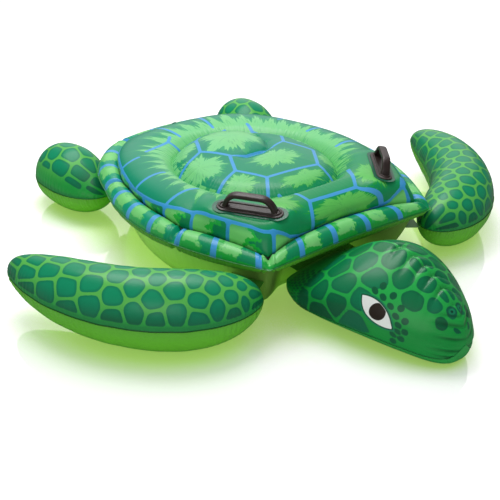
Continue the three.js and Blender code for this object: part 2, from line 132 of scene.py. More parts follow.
def spline_weights(samples, knots):
    """Rows of weights that run a smooth curve through evenly spaced knots. samples are in knot units."""
    weights = np.zeros((len(samples), knots))
    for row, u in enumerate(samples):
        i = min(int(u), knots - 2)
        t = u - i
        shares = (
            -0.5 * t + t * t - 0.5 * t ** 3,
            1 - 2.5 * t * t + 1.5 * t ** 3,
            0.5 * t + 2 * t * t - 1.5 * t ** 3,
            -0.5 * t * t + 0.5 * t ** 3,
        )
        for k, share in zip((i - 1, i, i + 1, i + 2), shares):
            weights[row, min(max(k, 0), knots - 1)] += share
    return weights


def bezier(a, b, c, t):
    a, b, c = (np.array(p, float) for p in (a, b, c))
    t = np.asarray(t, float)[..., None]
    return a * (1 - t) ** 2 + 2 * b * t * (1 - t) + c * t * t


def bezier_heading(a, b, c, t):
    a, b, c = (np.array(p, float) for p in (a, b, c))
    t = np.asarray(t, float)[..., None]
    slope = 2 * (1 - t) * (b - a) + 2 * t * (c - b)
    return slope / np.linalg.norm(slope, axis=-1, keepdims=True)


def waves(s, lengths, seed):
    """A sum of sine waves with the given wave lengths, uneven along s. It lies between about -1 and 1."""
    draw = np.random.default_rng(seed)
    total = np.zeros_like(s)
    for length in lengths:
        drift = draw.uniform(0, 2 * math.pi)
        bend = 1.3 * np.sin(s * 2 * math.pi / (length * draw.uniform(5, 9)) + drift)
        total += np.sin(s * 2 * math.pi / length + bend + draw.uniform(0, 2 * math.pi))
    return total / len(lengths)


def distance_to_path(points, path):
    """Distance in plan from each point to a run of straight lines."""
    best = np.full(points.shape[:-1], 1e9)
    for a, b in zip(path[:-1], path[1:]):
        a, b = np.array(a, float), np.array(b, float)
        step = b - a
        t = np.clip(((points - a) @ step) / (step @ step), 0, 1)
        gap = np.linalg.norm(points - (a + t[..., None] * step), axis=-1)
        best = np.minimum(best, gap)
    return best


def plate_field(points, seeds, softness):
    """Distance from each point to the edge of its plate, with rounded corners, and the plate's number."""
    flat = points.reshape(-1, 3)
    seeds = np.array(seeds, float)
    squared = ((flat[:, None, :] - seeds[None]) ** 2).sum(-1)
    owner = squared.argmin(1)
    own = squared[np.arange(len(flat)), owner]
    apart = np.linalg.norm(seeds[owner][:, None, :] - seeds[None], axis=-1)
    edge = (squared - own[:, None]) / (2 * np.maximum(apart, 1e-6))
    edge[np.arange(len(flat)), owner] = 1e6
    soft = -softness * np.log(np.exp(-np.minimum(edge, 400) / softness).sum(1))
    return soft.reshape(points.shape[:-1]), owner.reshape(points.shape[:-1])


# ---- hull outline ----
def full_outline():
    """Seam line of the rim as rays from the hull centre: unit x, unit y, reach and how far back each lies."""
    half = []
    for start, via, end, count in BULGES:
        half.append(bezier(start, via, end, np.arange(count) / count))
    half = np.concatenate(half + [np.array([[0.0, 560.0]])])
    other = half[1:-1][::-1] * (-1, 1)
    line = np.concatenate([half, other])
    offset = line - (0, HULL_CENTRE_Y)
    reach = np.linalg.norm(offset, axis=1)
    arc = np.concatenate([[0], np.cumsum(np.linalg.norm(np.diff(line, axis=0), axis=1))])
    total = arc[-1] + np.linalg.norm(line[0] - line[-1])
    return dict(
        ux=offset[:, 0] / reach, uy=offset[:, 1] / reach, reach=reach,
        rear=np.clip((line[:, 1] + 330) / 890, 0, 1), line=line, arc=arc, total=total,
        turn=np.unwrap(np.arctan2(offset[:, 1], offset[:, 0])),
    )


RAYS = full_outline()
SEAM_Z = lerp(SEAM_FRONT_Z, SEAM_REAR_Z, RAYS["rear"])


def offset_reach(offset):
    return RAYS["reach"] * (1 - offset / HULL_REACH)


def pad_reach():
    shift = PAD_CENTRE_Y - HULL_CENTRE_Y
    a = (RAYS["ux"] / PAD_HALF_X) ** 2 + (RAYS["uy"] / PAD_HALF_Y) ** 2
    b = -2 * RAYS["uy"] * shift / PAD_HALF_Y ** 2
    c = (shift / PAD_HALF_Y) ** 2 - 1
    return (-b + np.sqrt(b * b - 4 * a * c)) / (2 * a)


def narrowing():
    """Share of the rim tube's girth left at each ray: the tube is drawn in at its corners."""
    share = np.ones_like(RAYS["reach"])
    for (px, py), amount in zip(PINCHES, PINCH_NARROWING):
        near = np.hypot(np.abs(RAYS["line"][:, 0]) - px, RAYS["line"][:, 1] - py)
        share -= amount * np.exp(-(near / 52) ** 2)
    near = np.hypot(np.abs(RAYS["line"][:, 0]) - CORNER[0], RAYS["line"][:, 1] - CORNER[1])
    share -= FRONT_NARROWING * np.exp(-(near / FRONT_NARROWING_REACH) ** 2)
    return share


def rounded(reach, spread):
    """A reach line with its corners rounded off. spread is in mm along the outline."""
    if spread <= 0:
        return reach
    spacing = RAYS["total"] / len(reach)
    steps = np.arange(-int(3 * spread / spacing) - 1, int(3 * spread / spacing) + 2)
    weights = np.exp(-0.5 * (steps * spacing / spread) ** 2)
    return sum(w * np.roll(reach, k) for k, w in zip(steps, weights / weights.sum()))


def hull_points(reach, z):
    """Points from reach and height, each a grid of rows by rays."""
    return np.stack([RAYS["ux"] * reach, HULL_CENTRE_Y + RAYS["uy"] * reach, z], -1)


def over_seam(front, rear):
    return SEAM_Z + lerp(front, rear, RAYS["rear"])


def handle_plane(points):
    """Signed distance outside the handle's base outline, and the height of its seat, at each point."""
    dx = np.abs(points[..., 0]) - HANDLE_CENTRE[0]
    dy = points[..., 1] - HANDLE_CENTRE[1]
    along = dx * math.cos(HANDLE_TURN) + dy * math.sin(HANDLE_TURN)
    across = dy * math.cos(HANDLE_TURN) - dx * math.sin(HANDLE_TURN)
    past = np.maximum(np.abs(along) - (HANDLE_LENGTH - HANDLE_WIDTH) / 2, 0)
    outside = np.hypot(past, across) - HANDLE_WIDTH / 2
    return outside, HANDLE_CENTRE[2] + across * math.tan(HANDLE_LEAN) - HANDLE_SEAT_DROP


# curved weld across the centre pad, and how deep it is drawn down
PAD_CREASE = [(-70, 96), (-25, 84), (25, 84), (62, 104), (92, 150), (112, 215), (108, 285), (72, 335)]
PAD_CREASE_DEPTH = 15.0
WELD_ROWS = 70
PAD_ROWS = 66


def dome_points():
    oval = pad_reach()
    crest = rounded(offset_reach(137), 30)
    centre = (SEAM_FRONT_Z + SEAM_REAR_Z) / 2 + 90
    drawn_in = 1 - narrowing()
    ring = []
    for (o, f, r), outward, downward, spread in zip(DOME_WALL, WALL_OUTWARD, WALL_DOWNWARD, WALL_ROUNDING):
        reach = rounded(offset_reach(o - outward * drawn_in), spread)
        ring.append((reach, over_seam(f, r) - downward * drawn_in))
    ring += [(lerp(crest, oval, s), over_seam(f, r)) for s, f, r in DOME_RING_INNER]
    pad = [(oval * s, lerp(centre, over_seam(f, r), s)) for s, f, r in DOME_PAD]
    ring.append(pad[0])
    ring_grid = np.einsum("rk,kcj->rcj", spline_weights(np.linspace(0, 9, WELD_ROWS), 10),
                          np.array([np.stack(k, -1) for k in ring]))
    pad_grid = np.einsum("rk,kcj->rcj", spline_weights(np.linspace(0, 5, PAD_ROWS), 6),
                         np.array([np.stack(k, -1) for k in pad]))
    profile = np.concatenate([ring_grid, pad_grid[1:]])
    points = hull_points(profile[..., 0], profile[..., 1])
    x, y = points[..., 0], points[..., 1]

    # welded-down oval groove round the pad and the curved crease inside it
    from_oval = profile[..., 0] - oval
    along = RAYS["arc"][None, :]
    puckers = waves(np.broadcast_to(along, x.shape), (17, 26), 3)
    points[..., 2] -= 3.0 * np.exp(-np.abs(from_oval) / 5)
    points[..., 2] += 1.1 * puckers * np.exp(-np.abs(from_oval) / 22)
    crease = distance_to_path(points[..., :2], PAD_CREASE)
    inside = 1 - smoothstep(np.hypot(x / 170, (y - 95) / 215), 0.8, 1.3)
    ends = smoothstep(x, -75, -20) * (1 - smoothstep(y, 250, 345))
    hump = np.exp(-(((x + 2) / 104) ** 2 + ((y - 212) / 118) ** 2) ** 1.6)
    points[..., 2] += inside * (13 * hump - PAD_CREASE_DEPTH * ends * np.exp(-crease / 15))

    # puckers in the wall over the rim weld
    up_wall = np.linspace(0, 9, WELD_ROWS)
    up_wall = np.concatenate([up_wall, np.full(PAD_ROWS - 1, 9.0)])[:, None]
    wall = waves(np.broadcast_to(along, x.shape), (19, 31), 8) * np.exp(-up_wall / 1.3)
    points[..., 0] += RAYS["ux"] * 1.6 * wall
    points[..., 1] += RAYS["uy"] * 1.6 * wall

    outside, seat = handle_plane(points)
    pull = (1 - smoothstep(outside, 12, 70)) * np.clip((up_wall - 2) * 0.5, 0, 1)
    points[..., 2] = lerp(points[..., 2], seat, pull)
    return points, profile, from_oval


RIM_ROWS = 40


def rim_points(side):
    """The rim tube's upper (side 1) or lower (side -1) sheet, from its weld lip round to the inner weld."""
    angles = np.radians(np.linspace(0, RIM_WELD_ANGLE, RIM_ROWS))
    arc = RAYS["arc"]
    pinch = np.zeros_like(arc)
    for px, py in PINCHES:
        for mirror in (1, -1):
            near = np.hypot(RAYS["line"][:, 0] - mirror * px, RAYS["line"][:, 1] - py)
            pinch += 6.5 * np.exp(-(near / 12) ** 2) + 5.0 * np.exp(-(near / 4.0) ** 2)
            pinch += 2.6 * np.exp(-((near - 21) / 3.6) ** 2) - 2.4 * np.exp(-((near - 14) / 5) ** 2)
    tuck = 0.35 * waves(arc, (61, 97), 5) + 0.65 * waves(arc, (9.5, 13), 21)
    tuck = tuck * (0.6 + 0.4 * waves(arc, (180,), 2))
    rows_reach, rows_z = [], []
    for lip in (-WELD_FLANGE, -WELD_FLANGE * 0.5):
        rows_reach.append(offset_reach(lip))
        rows_z.append(SEAM_Z + side * 0.65 + 0.5 * waves(arc, (11, 17), 4))
    # the underside's puckers are low over the rear flippers, which swing up towards it
    depth = 1.5 if side > 0 else 2.8 - 1.7 * smoothstep(RAYS["line"][:, 1], 230, 310)
    for a in angles:
        fade = math.exp(-a / (0.5 if side > 0 else 0.95))
        ripple = depth * tuck * fade * min(1, a * 5)
        fold = pinch * (math.sin(a) ** 0.8 + 0.07)
        girth = RIM_RADIUS * narrowing()
        radius = girth + ripple - fold
        offset = girth - radius * math.cos(a)
        rows_reach.append(offset_reach(offset))
        rows_z.append(SEAM_Z + side * (0.65 * math.exp(-a * 8) + radius * math.sin(a)))
    return hull_points(np.array(rows_reach), np.array(rows_z))


def hull_bottom_points():
    """The hull's lower sheet. Its front wall leans back under the rim to make room for the neck."""
    seam = SEAM_Z
    line = RAYS["line"]
    over_neck = (line[:, 1] < -200) * (1 - smoothstep(np.abs(line[:, 0]), 170, 262))
    drawn_in = 1 - narrowing()
    wall = [(61.6, 0, 61), (58, 12, 46), (62, 56, 16), (76, 55, 0), (100, 40, 0), (132, 20, 0)]
    heights = [seam - 19 + 19 * drawn_in, seam - 36 + 10 * drawn_in]
    heights += [seam * share for share in (0.52, 0.26, 0.08, 0)]
    knots = [(offset_reach(offset + room * over_neck - outward * drawn_in), z)
             for (offset, room, outward), z in zip(wall, heights)]
    knots += [(RAYS["reach"] * 0.3, seam * 0), (RAYS["reach"] * 0, seam * 0)]
    grid = np.array([np.stack(np.broadcast_arrays(*k), -1) for k in knots])
    profile = np.einsum("rk,kcj->rcj", spline_weights(np.linspace(0, 7, 64), 8), grid)
    up_wall = np.linspace(0, 7, 64)[:, None]
    ripple = waves(np.broadcast_to(RAYS["arc"][None, :], profile.shape[:2]), (16, 27), 31)
    reach = profile[..., 0] + 1.5 * ripple * np.exp(-up_wall / 1.2)
    return hull_points(reach, np.maximum(profile[..., 1], 0))


# ---- flippers ----
FLIPPER_LIP = 2.2


def flipper_surface(spec, along, angle, swell=0.0):
    """Point on a flipper: along runs root to tip, angle from the outer seam over to the inner seam."""
    along, angle = np.broadcast_arrays(np.asarray(along, float), np.asarray(angle, float))
    centre = bezier(spec["root"], spec["bend"], spec["tip"], along)
    heading = bezier_heading(spec["root"], spec["bend"], spec["tip"], along)
    full = np.sqrt(np.maximum(1 - np.abs(2 * along - 1) ** spec["fullness"], 0))
    girth = full * (1 - spec["taper"] * (along - 0.35))
    ramp = 1 - spec["root_ramp"] * (1 - smoothstep(along, 0, 0.5))
    width = spec["half_width"] * girth + swell
    lift = np.where(np.sin(angle) >= 0, (spec["up"] * girth) * ramp + swell, spec["down"] * girth + swell)
    z = lerp(spec["root_z"], spec["tip_z"], along ** 2) + lift * np.sin(angle)
    x = centre[..., 0] + heading[..., 1] * width * np.cos(angle)
    y = centre[..., 1] - heading[..., 0] * width * np.cos(angle)
    return np.stack([x, y, z], -1)


def flipper_panel_points(spec, side, rows, columns, seed):
    """Grid of one flipper sheet with puckers at its seam and a narrow weld lip."""
    along = (1 - np.cos(np.pi * np.linspace(0, 1, rows + 1))) / 2
    angle = np.linspace(0, np.pi, columns + 1)
    grid_along, grid_angle = np.meshgrid(along, angle, indexing="ij")
    rim = flipper_surface(spec, along, 0.0)
    run = np.concatenate([[0], np.cumsum(np.linalg.norm(np.diff(rim, axis=0), axis=1))])[:, None]
    from_seam = np.minimum(grid_angle, np.pi - grid_angle)
    around = np.where(grid_angle < np.pi / 2, run, run[-1] * 1.7 - run)
    ends = 0.45 + 0.9 * np.abs(2 * grid_along - 1) ** 3
    ripple = waves(around, (9.5, 14.5), seed) * ends * np.exp(-from_seam / (0.26 if side > 0 else 0.34))
    long_dent = waves(around, (74, 121), seed + 1) * np.exp(-from_seam / 0.9)
    swell = (2.6 if side > 0 else 3.4) * ripple * np.clip(from_seam * 8, 0, 1) + 0.9 * long_dent
    points = flipper_surface(spec, grid_along, side * grid_angle, swell)
    points[..., 2] += side * SEAM_GAP
    lips = []
    for edge, cosine in ((0, 1), (-1, -1)):
        out = points[:, edge].copy()
        heading = bezier_heading(spec["root"], spec["bend"], spec["tip"], along)
        full = np.sqrt(np.maximum(1 - np.abs(2 * along - 1) ** spec["fullness"], 0))
        push = FLIPPER_LIP * np.stack([
            heading[:, 1] * full * cosine + heading[:, 0] * np.sign(along - 0.5) * (1 - full),
            -heading[:, 0] * full * cosine + heading[:, 1] * np.sign(along - 0.5) * (1 - full),
        ], -1)
        out[:, :2] += push
        out[:, 2] += 0.35 * waves(run[:, 0], (13, 21), 7)
        lips.append(out)
    points = np.concatenate([lips[0][:, None], points, lips[1][:, None]], axis=1)
    points[..., 2] = np.maximum(points[..., 2], 0.05)
    return points, with_lips(grid_angle)


def with_lips(grid):
    """A grid of values with its first and last columns repeated, for the weld lips."""
    return np.concatenate([grid[:, :1], grid, grid[:, -1:]], axis=1)


# ---- head ----
def head_surface(station, angle, swell=0.0):
    """Point on the head: station counts along the sections, angle goes round from the turtle's left."""
    station, angle = np.broadcast_arrays(np.asarray(station, float), np.asarray(angle, float))
    section = spline_weights(station.ravel(), len(HEAD_STATIONS)) @ HEAD_STATIONS
    section = section.reshape(station.shape + (4,))
    half_width = np.maximum(section[..., 1], 0)
    low = np.maximum(section[..., 3], 0)
    middle = (section[..., 2] + low) / 2
    half_height = (section[..., 2] - low) / 2
    share = np.minimum(half_height / 40, 1)
    fullness = 2 / np.where(np.sin(angle) < 0, HEAD_FULL_BOTTOM, HEAD_RIDGE_TOP)
    across = np.sign(np.cos(angle)) * np.abs(np.cos(angle)) ** fullness
    upward = np.sign(np.sin(angle)) * np.abs(np.sin(angle)) ** fullness
    x = (half_width + swell * share) * across
    z = middle + (half_height + swell * share) * upward
    return np.stack([x, section[..., 0], z], -1)


HEAD_LIP = 1.8
DART_FROM_Y = -455.0
DART_TO_Y = -668.0
DART_FOLD_LENGTH = 37.0


def head_panel_points(side):
    """Grid of the head's upper or lower sheet. The upper one has the gathered dart down its middle."""
    rows = 210 if side > 0 else 120
    columns = 190 if side > 0 else 90
    last = len(HEAD_STATIONS) - 1
    station = last * (0.5 - 0.5 * np.cos(np.pi * np.linspace(0, 1, rows + 1)))
    start = HEAD_SEAM_ANGLE
    sweep = np.pi - 2 * start if side > 0 else -(np.pi + 2 * start)
    angle = start + sweep * np.linspace(0, 1, columns + 1)
    grid_station, grid_angle = np.meshgrid(station, angle, indexing="ij")
    base = head_surface(grid_station, grid_angle)
    edge = head_surface(station, start)
    run = np.concatenate([[0], np.cumsum(np.linalg.norm(np.diff(edge, axis=0), axis=1))])[:, None]
    share = np.abs(grid_angle - start) / abs(sweep)
    from_seam = np.minimum(share, 1 - share) * 6.0
    around = np.where(share < 0.5, run, run + 900)
    ends = 0.35 + 0.8 * np.abs(2 * grid_station / last - 1) ** 4
    swell = 1.3 * waves(around, (13, 19), 41) * ends * np.exp(-from_seam / 0.35)
    if side > 0:
        swell = swell + head_gathers(base)[0]
    points = head_surface(grid_station, grid_angle, swell)
    points[..., 2] += side * SEAM_GAP
    if side > 0:
        points[..., 2] -= dart_groove(base)
    lips = []
    for column, sign in ((0, 1), (-1, -1)):
        out = points[:, column].copy()
        out[:, 0] += sign * HEAD_LIP
        lips.append(out)
    points = np.concatenate([lips[0][:, None], points, lips[1][:, None]], axis=1)
    points[..., 2] = np.maximum(points[..., 2], 0.05)
    return points


def dart_share(base):
    """How strongly the dart shows at a point: 1 on its middle stretch, 0 beyond its ends."""
    y = base[..., 1]
    front_end = smoothstep(y, DART_TO_Y - 12, DART_TO_Y + 25)
    rear_end = 1 - smoothstep(y, DART_FROM_Y - 30, DART_FROM_Y + 20)
    return front_end * rear_end * (base[..., 2] > 60)


def dart_groove(base):
    return 3.2 * dart_share(base) * np.exp(-np.abs(base[..., 0]) / 4.0)


# snout creases: height, length and depth of each
SNOUT_CREASES = [(112, 42, 5.8), (82, 34, 4.6), (52, 40, 6.1), (130, 26, 3.6), (34, 36, 4.4)]


def head_gathers(base):
    """Height of the folds beside the dart and the snout creases, then how deep in a fold a point lies, for
    the painted shade in the folds.
    """
    x, y, z = base[..., 0], base[..., 1], base[..., 2]
    place = y + 0.3 * np.abs(x) + 7 * np.sin(y / 31) + 0.05 * x
    valley = (1 - np.abs(np.sin(place * np.pi / DART_FOLD_LENGTH))) ** 3
    lobe = np.sin(place * np.pi / DART_FOLD_LENGTH) ** 2
    share = dart_share(base) * np.exp(-(np.abs(x) / 38) ** 1.8)
    height = (3.4 * lobe - 7.0 * valley) * share
    shade = valley * share
    for crease_z, length, depth in SNOUT_CREASES:
        gap = z - (crease_z + 0.16 * (np.abs(x) - 20))
        reach = smoothstep(y, -640, -690) * np.exp(-((np.abs(x) - 26) / length) ** 2)
        height -= depth * reach * (np.exp(-(gap / 4.0) ** 2) - 0.55 * np.exp(-((gap - 8) / 7.0) ** 2))
        shade = np.maximum(shade, reach * np.exp(-(gap / 3.2) ** 2))
    return height, shade


# ---- meshes ----
def linear(hex_colour):
    """Linear colour from a hexadecimal sRGB one."""
    parts = [int(hex_colour[i:i + 2], 16) / 255 for i in (0, 2, 4)]
    return [p / 12.92 if p <= 0.04045 else ((p + 0.055) / 1.055) ** 2.4 for p in parts] + [1.0]


def add_mesh(name, verts, corners, sizes, values):
    """A smooth mesh. corners lists vertex numbers face by face, values an array per face-corner attribute."""
    mesh = bpy.data.meshes.new(name)
    mesh.vertices.add(len(verts))
    mesh.vertices.foreach_set("co", (verts * MM).astype(np.float32).ravel())
    mesh.loops.add(len(corners))
    mesh.loops.foreach_set("vertex_index", corners.astype(np.int32))
    mesh.polygons.add(len(sizes))
    starts = np.concatenate([[0], np.cumsum(sizes)[:-1]]).astype(np.int32)
    mesh.polygons.foreach_set("loop_start", starts)
    mesh.update(calc_edges=True)
    for label, data in values.items():
        vector = data.ndim == 2
        layer = mesh.attributes.new(label, "FLOAT_VECTOR" if vector else "FLOAT", "CORNER")
        layer.data.foreach_set("vector" if vector else "value", data.astype(np.float32).ravel())
    mesh.validate()
    mesh.shade_smooth()
    obj = bpy.data.objects.new(name, mesh)
    bpy.context.scene.collection.objects.link(obj)
    return obj


def grid_mesh(name, points, closed=False, values=None, wall=PANEL_WALL, outward=None):
    """A sheet from a grid of points, given a thin wall. A closed grid joins its last column to its first,
    and its values have one more column than its points."""
    rows, columns = points.shape[:2]
    flat = points.reshape(-1, 3)
    places = np.round(flat * 1e4).astype(np.int64)
    _, keep, merged = np.unique(places, axis=0, return_index=True, return_inverse=True)
    merged = merged.reshape(rows, columns)
    columns_of_faces = columns if closed else columns - 1
    i, j = np.meshgrid(np.arange(rows - 1), np.arange(columns_of_faces), indexing="ij")
    i, j = i.ravel(), j.ravel()
    k = (j + 1) % columns
    quads = np.stack([merged[i, j], merged[i, k], merged[i + 1, k], merged[i + 1, j]], 1)
    verts = flat[keep]
    if outward is None:
        outward = flat.mean(0)
    centres = verts[quads].mean(1)
    normals = np.cross(verts[quads[:, 2]] - verts[quads[:, 0]], verts[quads[:, 3]] - verts[quads[:, 1]])
    turned = ((centres - outward) * normals).sum() < 0
    order = [3, 2, 1, 0] if turned else [0, 1, 2, 3]
    quads = quads[:, order]
    valid = quads != np.roll(quads, 1, axis=1)
    good = valid.sum(1) >= 3
    valid &= good[:, None]
    corner_values = {}
    for label, grid in (values or {}).items():
        grid = np.asarray(grid, float)
        if closed and grid.shape[1] == columns:
            grid = np.concatenate([grid, grid[:, :1]], axis=1)
        four = np.stack([grid[i, j], grid[i, j + 1], grid[i + 1, j + 1], grid[i + 1, j]], 1)[:, order]
        corner_values[label] = four[valid]
    obj = add_mesh(name, verts, quads[valid], valid.sum(1)[good], corner_values)
    if wall:
        thick = obj.modifiers.new("vinyl_wall", "SOLIDIFY")
        thick.thickness = wall * MM
        thick.offset = -1
        thick.use_rim = True
    return obj


# ---- node materials ----
class Paint:
    """Short names for the shader nodes that the materials use."""

    def __init__(self, name):
        self.material = bpy.data.materials.new(name)
        self.material.use_nodes = True
        self.tree = self.material.node_tree
        self.tree.nodes.clear()

    def node(self, kind, **settings):
        made = self.tree.nodes.new(kind)
        for key, value in settings.items():
            setattr(made, key, value)
        return made

    def feed(self, socket, source):
        if isinstance(source, bpy.types.NodeSocket):
            self.tree.links.new(source, socket)
        else:
            socket.default_value = source

    def value(self, label):
        return self.node("ShaderNodeAttribute", attribute_name=label).outputs["Fac"]

    def vector(self, label):
        return self.node("ShaderNodeAttribute", attribute_name=label).outputs["Vector"]

    def place(self):
        return self.node("ShaderNodeTexCoord").outputs["Object"]

    def math(self, operation, a, b=0.0, c=0.0):
        made = self.node("ShaderNodeMath", operation=operation)
        for socket, source in zip(made.inputs, (a, b, c)):
            self.feed(socket, source)
        return made.outputs[0]

    def times(self, a, b):
        return self.math("MULTIPLY", a, b)

    def plus(self, a, b):
        return self.math("ADD", a, b)

    def minus(self, a, b):
        return self.math("SUBTRACT", a, b)

    def vector_math(self, operation, a, b=(0, 0, 0), scale=None):
        made = self.node("ShaderNodeVectorMath", operation=operation)
        self.feed(made.inputs[0], a)
        self.feed(made.inputs[1], b)
        if scale is not None:
            self.feed(made.inputs["Scale"], scale)
        return made.outputs[0]

    def split(self, vector):
        made = self.node("ShaderNodeSeparateXYZ")
        self.feed(made.inputs[0], vector)
        return made.outputs

    def join(self, x, y, z):
        made = self.node("ShaderNodeCombineXYZ")
        for socket, source in zip(made.inputs, (x, y, z)):
            self.feed(socket, source)
        return made.outputs[0]

    def step(self, x, low, high):
        """0 below low, 1 above high, smooth between. low may be the larger."""
        made = self.node("ShaderNodeMapRange", interpolation_type="SMOOTHSTEP")
        self.feed(made.inputs["Value"], x)
        if low > high:
            made.inputs["From Min"].default_value = high
            made.inputs["From Max"].default_value = low
            made.inputs["To Min"].default_value = 1.0
            made.inputs["To Max"].default_value = 0.0
        else:
            made.inputs["From Min"].default_value = low
            made.inputs["From Max"].default_value = high
        return made.outputs["Result"]

    def mix(self, share, a, b):
        made = self.node("ShaderNodeMix", data_type="RGBA")
        self.feed(made.inputs["Factor"], share)
        self.feed(made.inputs["A"], linear(a) if isinstance(a, str) else a)
        self.feed(made.inputs["B"], linear(b) if isinstance(b, str) else b)
        return made.outputs["Result"]

    def over(self, colour, coat, share, amount):
        """colour with coat laid over it: share says where, amount how strongly."""
        return self.mix(self.times(share, amount), colour, coat)

    def where(self, colour, coat, field, low, high):
        """colour with coat wherever field has passed from low to high."""
        return self.mix(self.step(field, low, high), colour, coat)

    def noise(self, vector, scale, detail=2.0, roughness=0.5):
        made = self.node("ShaderNodeTexNoise")
        self.feed(made.inputs["Vector"], vector)
        self.feed(made.inputs["Scale"], scale)
        self.feed(made.inputs["Detail"], detail)
        self.feed(made.inputs["Roughness"], roughness)
        return made.outputs["Fac"]

    def finish(self, colour, roughness=0.32, specular=0.3, coat=0.0, height=None, depth=0.2, extra=None):
        """Soft glossy plastic: a fine skin grain and a faint roughness change over any height given."""
        shader = self.node("ShaderNodeBsdfPrincipled")
        place = self.place()
        smudge = self.noise(place, 14, 3)
        self.feed(shader.inputs["Base Color"], linear(colour) if isinstance(colour, str) else colour)
        self.feed(shader.inputs["Roughness"], self.math("MULTIPLY_ADD", smudge, 0.16, roughness - 0.08))
        self.feed(shader.inputs["Specular IOR Level"], specular)
        self.feed(shader.inputs["Coat Weight"], coat)
        self.feed(shader.inputs["Coat Roughness"], 0.16)
        for label, value in (extra or {}).items():
            self.feed(shader.inputs[label], value)
        grain = self.node("ShaderNodeBump")
        self.feed(grain.inputs["Height"], self.noise(place, 900, 2))
        self.feed(grain.inputs["Strength"], 0.05)
        self.feed(grain.inputs["Distance"], 0.0004)
        normal = grain.outputs["Normal"]
        if height is not None:
            soft = self.node("ShaderNodeBump")
            self.feed(soft.inputs["Height"], height)
            self.feed(soft.inputs["Strength"], depth)
            self.feed(soft.inputs["Distance"], 0.002)
            self.feed(soft.inputs["Normal"], normal)
            normal = soft.outputs["Normal"]
        self.feed(shader.inputs["Normal"], normal)
        out = self.node("ShaderNodeOutputMaterial")
        self.feed(out.inputs["Surface"], shader.outputs[0])
        return self.material


def slow_dents(paint, amount):
    """Height of the gentle dents that an inflated sheet always has."""
    place = paint.place()
    return paint.times(paint.noise(place, 17, 2), amount)


def seam_relief(paint, place, seam, squash, scale, reach, strength):
    """Height of the fine gathers that run away from a seam, over the sheet's slow dents."""
    streak = paint.noise(paint.vector_math("MULTIPLY", place, (1, 1, squash)), scale, 2)
    near = paint.step(seam, reach, 2.0)
    return paint.plus(paint.times(paint.times(streak, near), strength), slow_dents(paint, 0.5))


def brush_edge(paint, place, scale):
    """A signed noise that makes printed edges look brushed."""
    return paint.minus(paint.noise(place, scale, 4, 0.65), 0.5)


def lime_vinyl(name, bottom, top, cloud, front=None):
    """Plain lime sheet: colour at the floor, lighter there as painted glow from the floor, colour 160 mm up,
    soft clouds of a third, and painted shade over the front.
    """
    paint = Paint(name)
    place = paint.place()
    height = paint.split(place)[2]
    # painted glow: the sheet takes its lighter bottom colour near the floor
    low = paint.step(height, 0.0, 0.16)
    colour = paint.mix(low, bottom, top)
    colour = paint.mix(paint.times(paint.noise(place, 5, 3), 0.35), colour, cloud)
    # painted shade: a darker colour laid over the front, where the sheet lies in shadow under the rim
    if front:
        shaded = paint.step(paint.split(place)[1], -0.16, -0.26)
        colour = paint.over(colour, front, shaded, 0.9)
    seam = paint.value("seam")
    height_map = seam_relief(paint, place, seam, 0.18, 95, 45.0, 0.9)
    line = paint.step(seam, 1.6, 0.6)
    colour = paint.over(colour, "2f6a24", line, 0.7)
    return paint.finish(colour, 0.34, 0.3, 0.03, height_map, 0.35)


PLATE_EDGE = 3.4
LEAF_EDGE = 0.02


def scale_vinyl(name, dark, dark_in_painted_shade, grout, grout_in_painted_shade, low_height, high_height):
    """Printed cobble scales: dark plates on lighter grout, both darkened towards the bottom by painted shade,
    with a darker band and a dark line along the seam.
    """
    paint = Paint(name)
    place = paint.place()
    height = paint.split(place)[2]
    # painted shade: plates and grout darken from high_height down to low_height, on the lower side away from
    # the light
    up = paint.step(height, low_height, high_height)
    wobble = paint.times(brush_edge(paint, place, 60), 2.4)
    edge = paint.plus(paint.value("plate"), wobble)
    inside = paint.step(edge, PLATE_EDGE - 0.7, PLATE_EDGE + 0.7)
    plate = paint.mix(up, dark_in_painted_shade, dark)
    plate = paint.over(plate, "068a66", paint.value("tone"), 0.3)
    plate = paint.over(plate, "07503a", paint.step(edge, 12.0, 4.0), 0.3)
    ground = paint.mix(up, grout_in_painted_shade, grout)
    ground = paint.over(ground, "20a24a", paint.noise(place, 9, 3), 0.35)
    colour = paint.mix(inside, ground, plate)
    seam = paint.value("seam")
    colour = paint.over(colour, "167a3a", paint.step(seam, 16.0, 7.0), 0.8)
    colour = paint.over(colour, "0d4a26", paint.step(seam, 2.4, 1.0), 0.8)
    height_map = seam_relief(paint, place, seam, 0.2, 90, 40.0, 0.7)
    return paint, colour, height_map


def jagged(paint, position, run, per_unit, depth, seed):
    """position pushed back and forth by pointed tufts along run."""
    warp = paint.times(paint.noise(paint.join(run, seed, 0.0), per_unit * 0.6, 2), 1.6 / per_unit)
    beat = paint.times(paint.plus(run, warp), per_unit)
    tooth = paint.times(paint.math("PINGPONG", beat, 0.5), 2.0)
    tooth = paint.math("POWER", tooth, 1.5)
    size = paint.noise(paint.join(run, seed + 3.0, 0.0), per_unit * 0.45, 1)
    return paint.plus(position, paint.times(tooth, paint.times(size, depth)))


